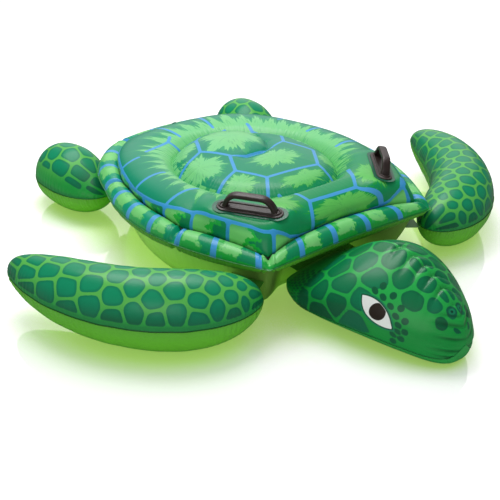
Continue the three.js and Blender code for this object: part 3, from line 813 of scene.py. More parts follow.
def leaf_mask(paint, leaf, line, reach, teeth):
    """1 inside a spiky round patch. leaf is the offset from its middle in patch radii, and its number."""
    parts = paint.split(leaf)
    flat = paint.join(parts[0], parts[1], 0.0)
    radius = paint.node("ShaderNodeVectorMath", operation="LENGTH")
    paint.feed(radius.inputs[0], flat)
    # the plain radius covers the faces where one patch's offsets change over to the next one's
    radius = paint.math("MAXIMUM", radius.outputs["Value"], paint.value("radius"))
    angle = paint.math("ARCTAN2", parts[1], parts[0])
    heading = paint.vector_math("NORMALIZE", flat)
    turned = paint.vector_math("SCALE", heading, scale=1.4)
    around = paint.vector_math("ADD", turned, paint.join(0.0, 0.0, parts[2]))
    warp = paint.times(paint.minus(paint.noise(around, 1.6, 3), 0.5), 5.0)
    beat = paint.plus(paint.times(angle, teeth / (2 * math.pi)), warp)
    tooth = paint.math("POWER", paint.times(paint.math("PINGPONG", beat, 0.5), 2.0), 1.2)
    size = paint.noise(around, 1.5, 3, 0.6)
    edge = paint.plus(paint.times(paint.minus(size, 0.5), 1.9), reach)
    length = paint.times(paint.noise(around, 3.1, 2), 0.5)
    edge = paint.plus(edge, paint.times(tooth, length))
    gap = paint.minus(edge, radius)
    inside = paint.math("MULTIPLY_ADD", line, 0.03, paint.times(tooth, 0.25))
    gap = paint.math("MINIMUM", gap, paint.minus(inside, 0.22))
    return paint.step(gap, -LEAF_EDGE, LEAF_EDGE)


def streaks(paint, leaf, strength):
    """Darker brush strokes that run out from a patch's middle."""
    parts = paint.split(leaf)
    flat = paint.join(parts[0], parts[1], 0.0)
    heading = paint.vector_math("NORMALIZE", flat)
    length = paint.node("ShaderNodeVectorMath", operation="LENGTH")
    paint.feed(length.inputs[0], flat)
    turned = paint.vector_math("SCALE", heading, scale=3.2)
    where = paint.vector_math("ADD", turned, paint.join(0.0, length.outputs["Value"], parts[2]))
    return paint.times(paint.step(paint.noise(where, 2.6, 3, 0.6), 0.56, 0.64), strength)


# ---- shell print ----
# blue plate lines, in plan: a zigzag down each side of the middle plates, and the lines leading away
LEFT_ZIGZAG = [(-70 - 42 * (k % 2), -58 + 82.5 * k) for k in range(6)]
RIGHT_ZIGZAG = [(98 + 13 * k + 47 * (k % 2), -68 + 90 * k) for k in range(5)]
SIDE_BRANCH = (-100, -40)
SPOKES = [(292, 250, 320), (157, 252, 360), (14, 240, 360)]


def shell_lines():
    lines = [[(-90, 380)] + LEFT_ZIGZAG[::-1] + RIGHT_ZIGZAG + [(158, 330)]]
    lines += [[(x, y), (x + SIDE_BRANCH[0], y + SIDE_BRANCH[1])] for x, y in LEFT_ZIGZAG[1::2]]
    for y, near, far in SPOKES:
        lines += [[(near * side, y), (far * side, y)] for side in (-1, 1)]
    lines += [[(60 * side, 372), (75 * side, 480)] for side in (-1, 1)]
    lines.append([LEFT_ZIGZAG[4], (-20, 312), (33, 342), (86, 345)])
    lines.append([LEFT_ZIGZAG[0], (-112, -118)])
    lines.append([RIGHT_ZIGZAG[0], (98, -132)])
    lines.append([(-84, -128), (-65, -225), (88, -230), (153, -130)])
    lines.append([(-65, -225), (-100, -290)])
    lines.append([(88, -230), (150, -282), (195, -292), (236, -250)])
    lines.append([(150, -282), (150, -320)])
    return lines


CRESCENT_LINE = [(-66, 103), (-25, 90), (25, 90), (66, 96), (118, 112)]
LINE_HALF_WIDTH = 4.8
# half turn seen from above, 90 is the tail: turn of each scute line, then how high the scutes reach
SCUTE_TURNS = np.linspace(90, 270, 13)
SCUTE_TOPS = [
    (90, 2.4), (121, 2.6), (138, 2.87), (156, 2.87), (171, 2.48), (187, 2.87), (196, 3.26), (203, 3.65),
    (211, 3.65), (218, 3.3), (226, 3.39), (233, 3.52), (240, 3.2), (245, 2.2), (250, 1.0), (258, 0.3),
    (270, 0.3),
]
SCUTE_CORNER = 13.0
# light tufts on the ring's inner slope: share of the ring that they cover at each turn
TUFT_TURNS = [90, 120, 150, 180, 215, 235, 245, 270, 285, 300, 325, 340, 360, 390, 420, 450]
TUFT_SHARES = [0.72, 0.66, 0.56, 0.6, 0.66, 0.5, 0.2, 0.06, 0.1, 0.26, 0.5, 0.7, 0.78, 0.8, 0.78, 0.72]
# leaf patches: middle and half sizes in plan
LEAVES = [
    (28, 28, 66, 50), (8, 212, 84, 78), (-165, 112, 58, 60), (-150, 262, 62, 52), (-142, -38, 44, 36),
    (18, -106, 66, 26), (172, -52, 36, 46), (196, 96, 26, 48), (-20, 348, 60, 22), (-142, -195, 44, 44),
    (22, -262, 92, 22), (166, -208, 42, 48),
]


def shell_values(points, profile, from_oval):
    """Print fields of the dome: signed distance to the blue lines, leaf patches, ring tufts and scutes."""
    plan = points[..., :2]
    line = np.full(plan.shape[:2], 1e9)
    for path in shell_lines():
        line = np.minimum(line, distance_to_path(plan, path) - LINE_HALF_WIDTH)
    line = np.minimum(line, distance_to_path(plan, CRESCENT_LINE) - LINE_HALF_WIDTH * 0.8)

    # height up the wall from the rim weld, and where the border line runs
    steps = np.linalg.norm(np.diff(points, axis=0), axis=2)
    up = np.concatenate([np.zeros((1, points.shape[1])), np.cumsum(steps, axis=0)])
    turn = np.degrees(RAYS["turn"]) % 360
    folded = np.where((turn > 90) & (turn <= 270), turn, np.where(turn > 270, 540 - turn, 180 - turn))
    top_knot = np.interp(folded, *np.transpose(SCUTE_TOPS))
    knot_rows = top_knot / 9 * (WELD_ROWS - 1)
    low = np.floor(knot_rows).astype(int)
    columns = np.arange(points.shape[1])
    border = lerp(up[low, columns], up[low + 1, columns], knot_rows - low)
    above = up - border
    cell = np.clip(np.searchsorted(SCUTE_TURNS, folded, side="right") - 1, 0, len(SCUTE_TURNS) - 2)
    turns = np.array(SCUTE_TURNS, float)
    start, end = turns[cell], turns[cell + 1]
    reach = offset_reach(58)
    half = np.radians(end - start) / 2 * reach * 1.04
    sideways = np.abs(np.radians(folded - (start + end) / 2)) * reach * 1.04
    box_half_height = (border + 60) / 2
    qx = sideways - half + SCUTE_CORNER
    qy = np.abs(up - (border - 60) / 2) - box_half_height + SCUTE_CORNER
    gap = np.hypot(np.maximum(qx, 0), np.maximum(qy, 0)) + np.minimum(np.maximum(qx, qy), 0) - SCUTE_CORNER
    in_wall = above < 0
    line = np.where(in_wall, -gap - LINE_HALF_WIDTH, np.minimum(line, above - LINE_HALF_WIDTH))
    scute = np.stack([
        np.broadcast_to((folded - (start + end) / 2) / (end - start), line.shape),
        np.broadcast_to(up / np.maximum(border, 1), line.shape),
        np.where(in_wall, cell + 1.0, 0.0),
    ], -1)

    centres = np.array(LEAVES, float)
    offsets = (plan[:, :, None, :] - centres[None, None, :, :2]) / centres[None, None, :, 2:]
    radii = np.linalg.norm(offsets, axis=-1)
    nearest = radii.argmin(-1)
    leaf = np.take_along_axis(offsets, nearest[..., None, None], axis=2)[..., 0, :]
    leaf = np.concatenate([leaf, nearest[..., None] * 3.7], -1)

    oval = profile[..., 0] - from_oval
    share = from_oval / np.maximum(offset_reach(58) - oval, 1)
    wide_turn = np.where(turn < 90, turn + 360, turn)
    cover = np.interp(wide_turn, TUFT_TURNS, TUFT_SHARES)
    tuft = np.where(from_oval > -2, (cover - share) * 95, np.where(from_oval > -12, 30.0, -99.0))
    run = np.broadcast_to(RAYS["arc"][None, :] / 100, line.shape)
    return dict(line=line, scute=scute, leaf=leaf, radius=radii.min(-1), tuft=tuft, run=run,
                seam=np.broadcast_to(up, line.shape))


def closing_column(values, run_total):
    """Adds the column that closes a ring of values. The run attribute carries on to the full length."""
    closed = {}
    for label, grid in values.items():
        extra = grid[:, :1].copy()
        if label == "run":
            extra = extra + run_total
        closed[label] = np.concatenate([grid, extra], axis=1)
    return closed


def shell_vinyl():
    paint = Paint("printed_shell_vinyl")
    place = paint.place()
    y = paint.split(place)[1]
    front = paint.step(y, 0.12, -0.24)
    side = paint.noise(place, 4.5, 3)
    base = paint.mix(front, "058665", "028a4c")
    base = paint.over(base, "0f9a6e", side, 0.4)
    light = paint.mix(front, "6cc487", "45b34c")
    light = paint.over(light, "7fc864", paint.noise(place, 22, 3), 0.5)
    middle = paint.mix(front, "2b9c66", "16963f")
    dark = paint.mix(front, "0b7460", "047044")

    leaf = paint.vector("leaf")
    line = paint.value("line")
    wide = leaf_mask(paint, leaf, line, 1.02, 21)
    core = leaf_mask(paint, leaf, line, 0.88, 27)
    colour = paint.mix(wide, base, middle)
    colour = paint.mix(core, colour, light)
    veins = paint.times(streaks(paint, leaf, 0.3), core)
    colour = paint.mix(veins, colour, dark)

    run = paint.value("run")
    tuft = paint.value("tuft")
    lean = paint.plus(run, paint.times(tuft, 0.004))
    outer = jagged(paint, paint.minus(tuft, 34.0), lean, 1.5, 66.0, 2.0)
    outer = paint.step(jagged(paint, outer, lean, 5.2, 26.0, 7.0), -1.0, 1.0)
    inner = jagged(paint, paint.minus(tuft, 44.0), lean, 1.5, 66.0, 2.0)
    inner = paint.step(jagged(paint, inner, lean, 6.0, 26.0, 9.0), -1.0, 1.0)
    strokes = paint.noise(paint.join(paint.times(lean, 9.0), paint.times(tuft, 0.02), 0.0), 2.0, 3)
    colour = paint.mix(outer, colour, middle)
    colour = paint.mix(inner, colour, light)
    stroke = paint.times(paint.step(strokes, 0.58, 0.66), paint.times(inner, 0.55))
    colour = paint.mix(stroke, colour, middle)

    scute = paint.split(paint.vector("scute"))
    in_wall = paint.step(scute[2], 0.4, 0.6)
    across = paint.join(paint.times(scute[0], 1.6), paint.times(scute[1], 0.9), scute[2])
    feather = paint.times(paint.minus(paint.noise(across, 2.2, 5, 0.55), 0.5), 1.7)
    blotch = paint.plus(feather, scute[0])
    wall = paint.mix(paint.step(blotch, -0.06, 0.0), "72cc70", "1cb43c")
    wall = paint.where(wall, "078550", blotch, 0.13, 0.16)
    wall = paint.over(wall, "0b8a54", paint.step(scute[1], 0.62, 0.95), 0.6)
    wall = paint.over(wall, "2f9a72", paint.step(y, 0.0, 0.3), 0.35)
    colour = paint.mix(in_wall, colour, wall)

    blue = paint.mix(paint.noise(place, 9, 2), "2f95cc", "4f9cd8")
    blue = paint.over(blue, "2590cc", in_wall, 0.5)
    edge = paint.plus(paint.value("line"), paint.times(brush_edge(paint, place, 70), 1.6))
    colour = paint.where(colour, blue, edge, 0.7, -0.7)
    return paint.finish(colour, 0.33, 0.3, 0.04, slow_dents(paint, 0.6), 0.35)


# ---- rim print ----
# turns of the blue bands on the turtle's right, tail to head, then on its left as the mirror
BAND_TURNS = np.linspace(98, 262.5, 13)
BAND_HALF_WIDTH = 8.5


def rim_values(rows):
    turn = np.degrees(RAYS["turn"]) % 360
    right = np.array(BAND_TURNS)
    bands = np.sort(np.concatenate([right, (540 - right) % 360]))
    order = np.argsort(turn)
    arcs = np.interp(bands, turn[order], RAYS["arc"][order])
    arcs = np.sort(arcs)
    arc = RAYS["arc"]
    wrapped = np.concatenate([[arcs[-1] - RAYS["total"]], arcs, [arcs[0] + RAYS["total"]]])
    cell = np.searchsorted(wrapped, arc, side="right") - 1
    before, after = wrapped[cell], wrapped[cell + 1]
    band = np.minimum(arc - before, after - arc) - BAND_HALF_WIDTH
    span = (arc - before) / (after - before)

    def wide(data):
        return np.broadcast_to(data[None, :], (rows, len(arc)))

    around = np.concatenate([[-0.1, -0.05], np.radians(np.linspace(0, RIM_WELD_ANGLE, RIM_ROWS))])
    return dict(
        band=wide(band),
        span=np.stack([wide(span), np.broadcast_to(around[:, None], (rows, len(arc))), wide(cell * 1.0)], -1),
        run=wide(arc / 100),
        seam=np.broadcast_to((np.maximum(around, 0) * RIM_RADIUS)[:, None] + 0.5, (rows, len(arc))),
    )


def rim_vinyl():
    paint = Paint("printed_rim_vinyl")
    place = paint.place()
    y = paint.split(place)[1]
    front = paint.step(y, 0.1, -0.25)
    span = paint.split(paint.vector("span"))
    push = paint.times(brush_edge(paint, place, 26), 0.75)
    along = paint.plus(span[0], push)
    base = paint.mix(front, "37ad5c", "18a53c")
    light = paint.mix(paint.noise(place, 30, 3), "5fbf68", "80cf7c")
    dark = paint.mix(front, "049670", "048a58")
    around = paint.plus(span[1], paint.times(brush_edge(paint, place, 18), 1.5))
    on_top = paint.step(around, 0.45, 0.6)
    light_part = paint.times(paint.step(along, 0.60, 0.56), paint.step(along, 0.10, 0.16))
    colour = paint.mix(paint.times(light_part, on_top), base, light)
    dark_part = paint.times(paint.step(along, 0.58, 0.63), paint.step(around, 0.1, 0.25))
    colour = paint.mix(dark_part, colour, dark)
    speck = paint.step(paint.noise(place, 40, 3, 0.7), 0.60, 0.63)
    colour = paint.over(colour, "2c9f6a", speck, 0.5)
    blue = paint.mix(front, "4a9cd0", "3e96d2")
    edge = paint.plus(paint.value("band"), paint.times(brush_edge(paint, place, 70), 2.0))
    colour = paint.where(colour, blue, edge, 0.7, -0.7)
    seam = paint.value("seam")
    colour = paint.over(colour, "1d6b2c", paint.step(seam, 2.6, 1.2), 0.75)
    height_map = seam_relief(paint, place, seam, 0.3, 85, 34.0, 0.9)
    return paint.finish(colour, 0.32, 0.3, 0.04, height_map, 0.4)


# ---- hull pieces ----
def place_piece(obj, material, body, slot, *nodes):
    obj.data.materials.append(material)
    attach(obj, body)
    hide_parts(*nodes)


# length of sheet from the seam, in mm
HULL_SHEET_RUN = 300.0
HEAD_TOP_RUN = 600.0
HEAD_BOTTOM_RUN = 400.0


def build_hull(lime):
    points, profile, from_oval = dome_points()
    values = closing_column(shell_values(points, profile, from_oval), RAYS["total"] / 100)
    dome = grid_mesh("dome_panel", points, True, values, outward=np.array([0, 105, 60]))
    place_piece(dome, shell_vinyl(), "hull", "printed_vinyl", "dome_top_panel")

    rim_top = rim_points(1)
    values = closing_column(rim_values(len(rim_top)), RAYS["total"] / 100)
    panel = ring_sheet("rim_upper_panel", rim_top, values)
    place_piece(panel, rim_vinyl(), "hull", "printed_vinyl", "rim_top_panel")

    rim_bottom = rim_points(-1)
    values = closing_column(rim_values(len(rim_bottom)), RAYS["total"] / 100)
    panel = ring_sheet("rim_lower_panel", rim_bottom, {"seam": values["seam"]})
    place_piece(panel, lime, "hull", "lime_vinyl", "rim_bottom_panel")

    bottom = hull_bottom_points()
    seam = np.broadcast_to(np.linspace(0, HULL_SHEET_RUN, len(bottom))[:, None], bottom.shape[:2])
    panel = grid_mesh("hull_lower_panel", bottom, True, {"seam": seam}, outward=np.array([0, 105, 90]))
    # a lighter copy of the lime vinyl: painted light for the lime glow under the rim, with painted shade on
    # its front
    glow_lit_lime = lime_vinyl("lime_vinyl_painted_glow", "a8e85c", "98dc58", "b4ec78", "5d8438")
    place_piece(panel, glow_lit_lime, "hull", "lime_vinyl", "hull_bottom_panel")


def ring_sheet(name, points, values):
    """A sheet of the rim tube: its outside faces away from the tube's own middle."""
    sheet = grid_mesh(name, points, True, values, wall=0)
    mesh = sheet.data
    tube = hull_points(offset_reach(RIM_RADIUS), SEAM_Z)
    face = mesh.polygons[len(mesh.polygons) // 2]
    middle = np.array(face.center) / MM
    nearest = tube[np.linalg.norm(tube - middle, axis=1).argmin()]
    if (middle - nearest) @ np.array(face.normal) < 0:
        mesh.flip_normals()
    thick = sheet.modifiers.new("vinyl_wall", "SOLIDIFY")
    thick.thickness = PANEL_WALL * MM
    thick.offset = -1
    return sheet


# ---- flipper pieces ----
PLATES_FROM_ROOT = 0.06
PLATES_TO_TIP = 0.94
PLATES_FROM_SEAM = 12.0
PLATES_TO_SEAM = 158.0
PLATE_DRIFT_ALONG = 0.014
PLATE_DRIFT_ROUND = 5.0


def plate_middles(rings, across, crowding, seed):
    """Plate middles in staggered rings: share of the length, and degrees round from the outer seam."""
    draw = np.random.default_rng(seed)
    middles = []
    for ring in range(rings):
        along = lerp(PLATES_FROM_ROOT, PLATES_TO_TIP, (ring / (rings - 1)) ** crowding)
        for k in range(across):
            turn = lerp(PLATES_FROM_SEAM, PLATES_TO_SEAM, (k + 0.5 * (ring % 2)) / (across - 0.5))
            middles.append((along + PLATE_DRIFT_ALONG * draw.uniform(-1, 1),
                            turn + PLATE_DRIFT_ROUND * draw.uniform(-1, 1)))
    return middles


def build_flippers(lime):
    jobs = [("front_flipper", FRONT_FLIPPER, plate_middles(14, 5, 1.2, 4), 250, 84, 12.0),
            ("rear_flipper", REAR_FLIPPER, plate_middles(6, 5, 1.0, 6), 170, 84, 44.0)]
    for kind, spec, plates, rows, columns, margin in jobs:
        # lit plate, plate in painted shade, lit grout, grout in painted shade
        colours = ("088d60", "045a34", "5cb850", "1a8f38")
        paint, colour, height_map = scale_vinyl(kind + "_print", *colours, 0.11, 0.17)
        print_material = paint.finish(colour, 0.33, 0.3, 0.04, height_map, 0.35)
        seeds = flipper_surface(spec, [p[0] for p in plates], np.radians([p[1] for p in plates]))
        tones = np.random.default_rng(11).uniform(0, 1, len(plates))
        for side_name, mirror in (("left", 1), ("right", -1)):
            for level, up in (("top", 1), ("bottom", -1)):
                points, angle = flipper_panel_points(spec, up, rows, columns, 60)
                arc = np.minimum(angle, np.pi - angle) * 80
                values = {"seam": arc}
                if up > 0:
                    field, owner = plate_field(points, seeds, 3.5)
                    # the plates stop short of the seam, with rounded feet
                    foot = arc - margin + PLATE_EDGE
                    field = np.where(foot < field + 9, smooth_minimum(field, foot, 9.0), field)
                    values.update(plate=field, tone=tones[owner])
                shaped = points * (mirror, 1, 1)
                middle = np.array([shaped[..., 0].mean(), shaped[..., 1].mean(), spec["root_z"]])
                sheet = grid_mesh(f"{kind}_{level}_sheet_{side_name}", shaped, False, values, outward=middle)
                place_piece(sheet, print_material if up > 0 else lime, f"{kind}_{side_name}", "scale_vinyl",
                            f"{kind}_{level}_{side_name}")


# ---- head print ----
HEAD_PLATE_RINGS = 9
HEAD_PLATES_ACROSS = 4
HEAD_PLATE_STATION = 4.3
HEAD_PLATE_STATION_STEP = 0.92
HEAD_PLATE_TURN = 97.0
HEAD_PLATE_TURN_STEP = 26.0
CROWN_HALF_WIDTH = 70.0
BROW_SPOT_ROWS = 2
BROW_SPOTS = 7
BROW_SPOT_SPACING = 17.0
BROW_SPOT_GAP = 13.0
BROW_SPOTS_FROM = 128.0
BROW_SPOT_STEP = 24.0
BROW_SPOT_SIZES = [(9.5, 6.5), (8.5, 8.0)]
CROWN_ONLY_PAST = -520.0
DARK_PLATE_HEIGHT = 60.0
EYE_DEPTH = 45.0
NO_EYE = -80.0
NO_SPOT = 60.0
NECK_SPOT_ROWS = 6
NECK_SPOT_COLUMNS = 11
EYE_MIDDLE = (-131, -549, 116)
EYE_LONG = (0.155, -0.84, -0.52)
EYE_HALF_LENGTH = 52.0
EYE_HALF_HEIGHT = 21.0
PUPIL_RADIUS = 20.0
NOSTRIL = (-14, -673, 139)


def head_plates():
    """Plate middles on the turtle's right, and 1 for a dark one: past the eye only the crown has them."""
    draw = np.random.default_rng(9)
    plates = []
    for ring in range(HEAD_PLATE_RINGS):
        for k in range(HEAD_PLATES_ACROSS):
            station = HEAD_PLATE_STATION + HEAD_PLATE_STATION_STEP * ring + draw.uniform(-0.1, 0.1)
            turn = HEAD_PLATE_TURN + HEAD_PLATE_TURN_STEP * (k + 0.5 * (ring % 2)) + draw.uniform(-3, 3)
            x, y, z = head_surface(station, math.radians(turn))
            behind_eye_or_crown = y > CROWN_ONLY_PAST or abs(x) < CROWN_HALF_WIDTH
            plates.append((x, y, z, float(behind_eye_or_crown and z > DARK_PLATE_HEIGHT)))
    return np.array(plates)


def head_values(points):
    """Print fields of the head: plate edges, eye and pupil distances, spots and nostril, and the painted
    shade in the folds.
    """
    mirror = np.where(points[..., 0] > 0, -1.0, 1.0)
    folded = points * np.stack([mirror, np.ones_like(mirror), np.ones_like(mirror)], -1)
    plates = head_plates()
    seeds = np.concatenate([plates[:, :3], plates[:, :3] * (-1, 1, 1)])
    field, owner = plate_field(folded, seeds, 4.0)
    dark = np.tile(plates[:, 3], 2)[owner]
    tone = np.random.default_rng(5).uniform(0, 1, len(plates))
    tone = np.tile(tone, 2)[owner]

    middle = np.array(EYE_MIDDLE, float)
    long_way = np.array(EYE_LONG, float)
    long_way /= np.linalg.norm(long_way)
    outward = np.array((-0.93, -0.22, 0.30))
    outward -= long_way * (outward @ long_way)
    outward /= np.linalg.norm(outward)
    up_way = np.cross(outward, long_way)
    if up_way[2] < 0:
        up_way = -up_way
    offset = folded - middle
    u, v, w = offset @ long_way, offset @ up_way, offset @ outward
    arc = (EYE_HALF_LENGTH ** 2 + EYE_HALF_HEIGHT ** 2) / (2 * EYE_HALF_HEIGHT)
    centre = arc - EYE_HALF_HEIGHT
    almond = arc - np.hypot(u, np.abs(v) + centre)
    far = np.abs(w) > EYE_DEPTH
    almond = np.where(far, NO_EYE, almond)
    pupil = np.where(far, NO_EYE, PUPIL_RADIUS - np.hypot(u - 1.0, v - 3.5))

    first = np.full(mirror.shape, NO_SPOT)
    second = first.copy()
    for row in range(BROW_SPOT_ROWS):
        for k in range(BROW_SPOTS):
            bearing = math.radians(BROW_SPOTS_FROM - BROW_SPOT_STEP * (k + 0.5 * row))
            out = BROW_SPOT_GAP + BROW_SPOT_SPACING * row
            along = u - (EYE_HALF_LENGTH + out) * math.cos(bearing)
            across = v - (EYE_HALF_HEIGHT + out) * math.sin(bearing)
            length, height = BROW_SPOT_SIZES[row]
            distance = (np.hypot(along / length, across / height) - 1) * min(length, height)
            distance = np.where(far, NO_SPOT, distance)
            second = np.minimum(second, np.maximum(first, distance))
            first = np.minimum(first, distance)
    for i in range(NECK_SPOT_ROWS):
        for j in range(NECK_SPOT_COLUMNS):
            seed_station = 2.5 + 0.3 * i
            seed_angle = math.radians(204 - 6.4 * j - 3.2 * (i % 2))
            gap = folded - head_surface(seed_station, seed_angle)
            distance = np.linalg.norm(gap, axis=-1) - (5.0 + 0.35 * i)
            second = np.minimum(second, np.maximum(first, distance))
            first = np.minimum(first, distance)
    # a line of ground stays between neighbouring small scales
    spots = np.maximum(first, 1.5 - (second - first) / 2)
    nostril = np.linalg.norm((folded - NOSTRIL) * (1, 0.8, 1.0), axis=-1)
    # plates stop where the small scales, the eye and the jaw begin
    jaw = smoothstep(points[..., 2] - lerp(38, 96, smoothstep(-points[..., 1], 470, 640)), -4, 4)
    neck = smoothstep(-points[..., 1], 330, 346)
    keep = dark * jaw * neck
    plate = np.where(keep > 0.5, field, np.minimum(field, 2.0))
    plate = np.minimum(plate, 4 - almond)
    shade = head_gathers(points)[1]
    return dict(plate=plate, tone=tone, almond=almond, pupil=pupil, spots=spots, nostril=nostril, shade=shade)


def head_vinyl():
    # plate and grout colours, each lit and then in painted shade towards the bottom
    paint, colour, height_map = scale_vinyl("head_print", "00703e", "005030", "1fa848", "008433", 0.07, 0.17)
    place = paint.place()
    spots = paint.plus(paint.value("spots"), paint.times(brush_edge(paint, place, 60), 2.0))
    colour = paint.where(colour, "045a38", spots, 0.8, -0.6)
    almond = paint.value("almond")
    colour = paint.where(colour, "0c7a50", almond, -7.5, -4.5)
    colour = paint.where(colour, "075238", almond, -3.6, -2.2)
    colour = paint.where(colour, "dfe4df", almond, -0.5, 0.5)
    pupil = paint.math("MINIMUM", paint.value("pupil"), paint.minus(almond, 0.6))
    colour = paint.where(colour, "2a2118", pupil, -0.5, 0.5)
    nostril = paint.value("nostril")
    colour = paint.where(colour, "0a6044", nostril, 13.5, 12.0)
    colour = paint.where(colour, "0d7d55", nostril, 8.5, 7.5)
    colour = paint.where(colour, "063f2f", nostril, 4.5, 3.5)
    # painted shade: dark green laid into the folds beside the dart and into the snout creases
    colour = paint.over(colour, "023f22", paint.value("shade"), 0.7)
    return paint.finish(colour, 0.33, 0.3, 0.04, height_map, 0.35)


def head_seam_distance(points, run):
    """Distance along the sheet from the nearer of its two seams, where run is the whole way across."""
    share = np.linspace(0, 1, points.shape[1])[None, :]
    return np.broadcast_to(np.minimum(share, 1 - share) * run, points.shape[:2])


def build_head():
    middle = np.array([0, -480, 80])
    upper = head_panel_points(1)
    values = head_values(upper)
    values["seam"] = head_seam_distance(upper, HEAD_TOP_RUN)
    sheet = grid_mesh("head_upper_sheet", upper, False, values, outward=middle)
    place_piece(sheet, head_vinyl(), "head", "scale_vinyl", "head_top_panel")
    lower = head_panel_points(-1)
    values = {"seam": head_seam_distance(lower, HEAD_BOTTOM_RUN)}
    sheet = grid_mesh("head_lower_sheet", lower, False, values, outward=middle)
    place_piece(sheet, jaw_vinyl(), "head", "scale_vinyl", "head_bottom_panel")


def jaw_vinyl():
    paint = Paint("jaw_vinyl")
    place = paint.place()
    colour = paint.mix(paint.noise(place, 6, 3), "1f9040", "2a9a45")
    seam = paint.value("seam")
    colour = paint.over(colour, "0c3f1c", paint.step(seam, 1.8, 0.7), 0.8)
    height_map = seam_relief(paint, place, seam, 0.2, 90, 40.0, 0.8)
    return paint.finish(colour, 0.34, 0.3, 0.03, height_map, 0.35)


# ---- handles ----
STADIUM_STEPS = 96
ROUND_CORNER_STEPS = 7
DISH_MIDDLE_Z = 4.2


def stadium_ring(length, width, z):
    """Points round a stadium outline at height z."""
    radius = width / 2
    straight = length / 2 - radius
    theta = np.linspace(0, 2 * np.pi, STADIUM_STEPS, endpoint=False)
    x = radius * np.cos(theta) + np.where(np.cos(theta) >= 0, straight, -straight)
    return np.stack([x, radius * np.sin(theta), np.full(STADIUM_STEPS, z)], -1)


def sweep_points(path, across, section):
    """Sections carried along a path in the x-z plane. Each section point is (sideways, outward)."""
    path = np.array(path, float)
    heading = np.gradient(path, axis=0)
    heading /= np.linalg.norm(heading, axis=1, keepdims=True)
    outward = np.stack([-heading[:, 1], heading[:, 0]], -1)
    grid = []
    for p, o, scale in zip(path, outward, across):
        ring = [(p[0] + o[0] * s[1], s[0] * scale, p[1] + o[1] * s[1]) for s in section]
        grid.append(ring)
    return np.array(grid)


def rounded_path(corners, radius):
    """Polyline with its corners rounded off."""
    corners = np.array(corners, float)
    points = [corners[0]]
    for a, b, c in zip(corners[:-2], corners[1:-1], corners[2:]):
        before = b + (a - b) / np.linalg.norm(a - b) * radius
        after = b + (c - b) / np.linalg.norm(c - b) * radius
        points.extend(bezier(before, b, after, np.linspace(0, 1, ROUND_CORNER_STEPS)))
    points.append(corners[-1])
    dense = []
    for a, b in zip(points[:-1], points[1:]):
        pieces = max(1, int(np.linalg.norm(np.array(b) - a) / 2.5))
        dense.extend(lerp(np.array(a), np.array(b), t) for t in np.arange(pieces) / pieces)
    dense.append(points[-1])
    return np.array(dense)


def build_handle_meshes():
    """Base flange with a raised collar and the channel-shaped loop over it, at the handle's own origin."""
    half_length = HANDLE_LENGTH / 2
    # inset and height, from the underside edge over the flange and the collar to the floor of the dish
    profile = [
        (0.6, -0.9), (0, -0.2), (0, 2.2), (0.8, 3.0), (5.2, 3.2), (6.4, 3.8), (7.0, 6.4), (8.0, 7.2),
        (9.6, 7.2), (10.6, 6.2), (11.0, 4.6), (12.0, 4.0),
    ]
    rings = [stadium_ring(HANDLE_LENGTH - 2 * i, HANDLE_WIDTH - 2 * i, z) for i, z in profile]
    middle = np.tile([0.0, 0.0, DISH_MIDDLE_Z], (STADIUM_STEPS, 1))
    shrink = rings[-1] * (0.86, 0.5, 1) + (0, 0, 0.15)
    base = np.array([rings[0] * (0.05, 0.05, 1)] + rings + [shrink, middle])
    # the loop's centre line: distance in from the end, and height
    rise = [(20, 1.0), (25, 20), (44, 39)]
    flat = [(inset - half_length, z) for inset, z in rise]
    flat += [(-x, z) for x, z in flat[::-1]]
    path = rounded_path(flat, 13)
    # outer face with rolled edges, channel on the inside
    right = [
        (5.5, 5.4), (9.6, 4.4), (11, 2.0), (11, -1.8), (10.2, -5.6), (8.2, -6.2), (7.4, -4.6), (7.0, 1.0),
    ]
    left = [(-x, z) for x, z in right[::-1]]
    section = left[4:] + right + left[:4]
    foot = np.interp(path[:, 1], [0, 14, 26], [1.3, 1.06, 1.0])
    return base, sweep_points(path, foot, section)


def handle_plastic():
    paint = Paint("handle_moulding")
    place = paint.place()
    cloud = paint.noise(place, 60, 4)
    colour = paint.mix(cloud, "221816", "3a2b28")
    edge_sharpness = paint.node("ShaderNodeNewGeometry").outputs["Pointiness"]
    # lighter colour along the sharpest outer edges of the moulding
    colour = paint.where(colour, "6b5a54", edge_sharpness, 0.52, 0.60)
    return paint.finish(colour, 0.40, 0.5, 0.0, paint.noise(place, 420, 3), 0.12)


def build_handles():
    plastic = handle_plastic()
    base, loop = build_handle_meshes()
    # painted shade: the weld patch under each handle is a real dark green sheet, made darker still to stand
    # in for the handle's shadow
    patch = plain_vinyl("patch_vinyl_painted_shade", "03533c", "045e44", 20, 0.35, 0.4, 0.1)
    for side, mirror in (("left", 1), ("right", -1)):
        turn = HANDLE_TURN if mirror > 0 else math.pi - HANDLE_TURN
        lean = HANDLE_LEAN * mirror
        matrix = (Matrix.Translation(Vector(HANDLE_CENTRE) * MM) @ Matrix.Rotation(turn, 4, "Z")
                  @ Matrix.Rotation(lean, 4, "X"))
        if mirror < 0:
            matrix.translation.x = -matrix.translation.x
        turned = np.array(matrix.to_3x3())
        shift = np.array(matrix.translation) / MM
        pieces = [grid_mesh(f"handle_{side}{ending}", grid @ turned.T + shift, True, wall=0)
                  for ending, grid in (("", base), ("_loop", loop))]
        join_meshes(pieces)
        handle = pieces[0]
        recalculate(handle)
        smooth = handle.modifiers.new("smooth", "SUBSURF")
        smooth.levels = smooth.render_levels = 1
        place_piece(handle, plastic, "hull", "handle_moulding", f"handle_{side}")
        restyle([f"handle_patch_{side}"], patch)


def join_meshes(pieces):
    first = pieces[0]
    with bpy.context.temp_override(active_object=first, selected_editable_objects=pieces, object=first):
        bpy.ops.object.join()


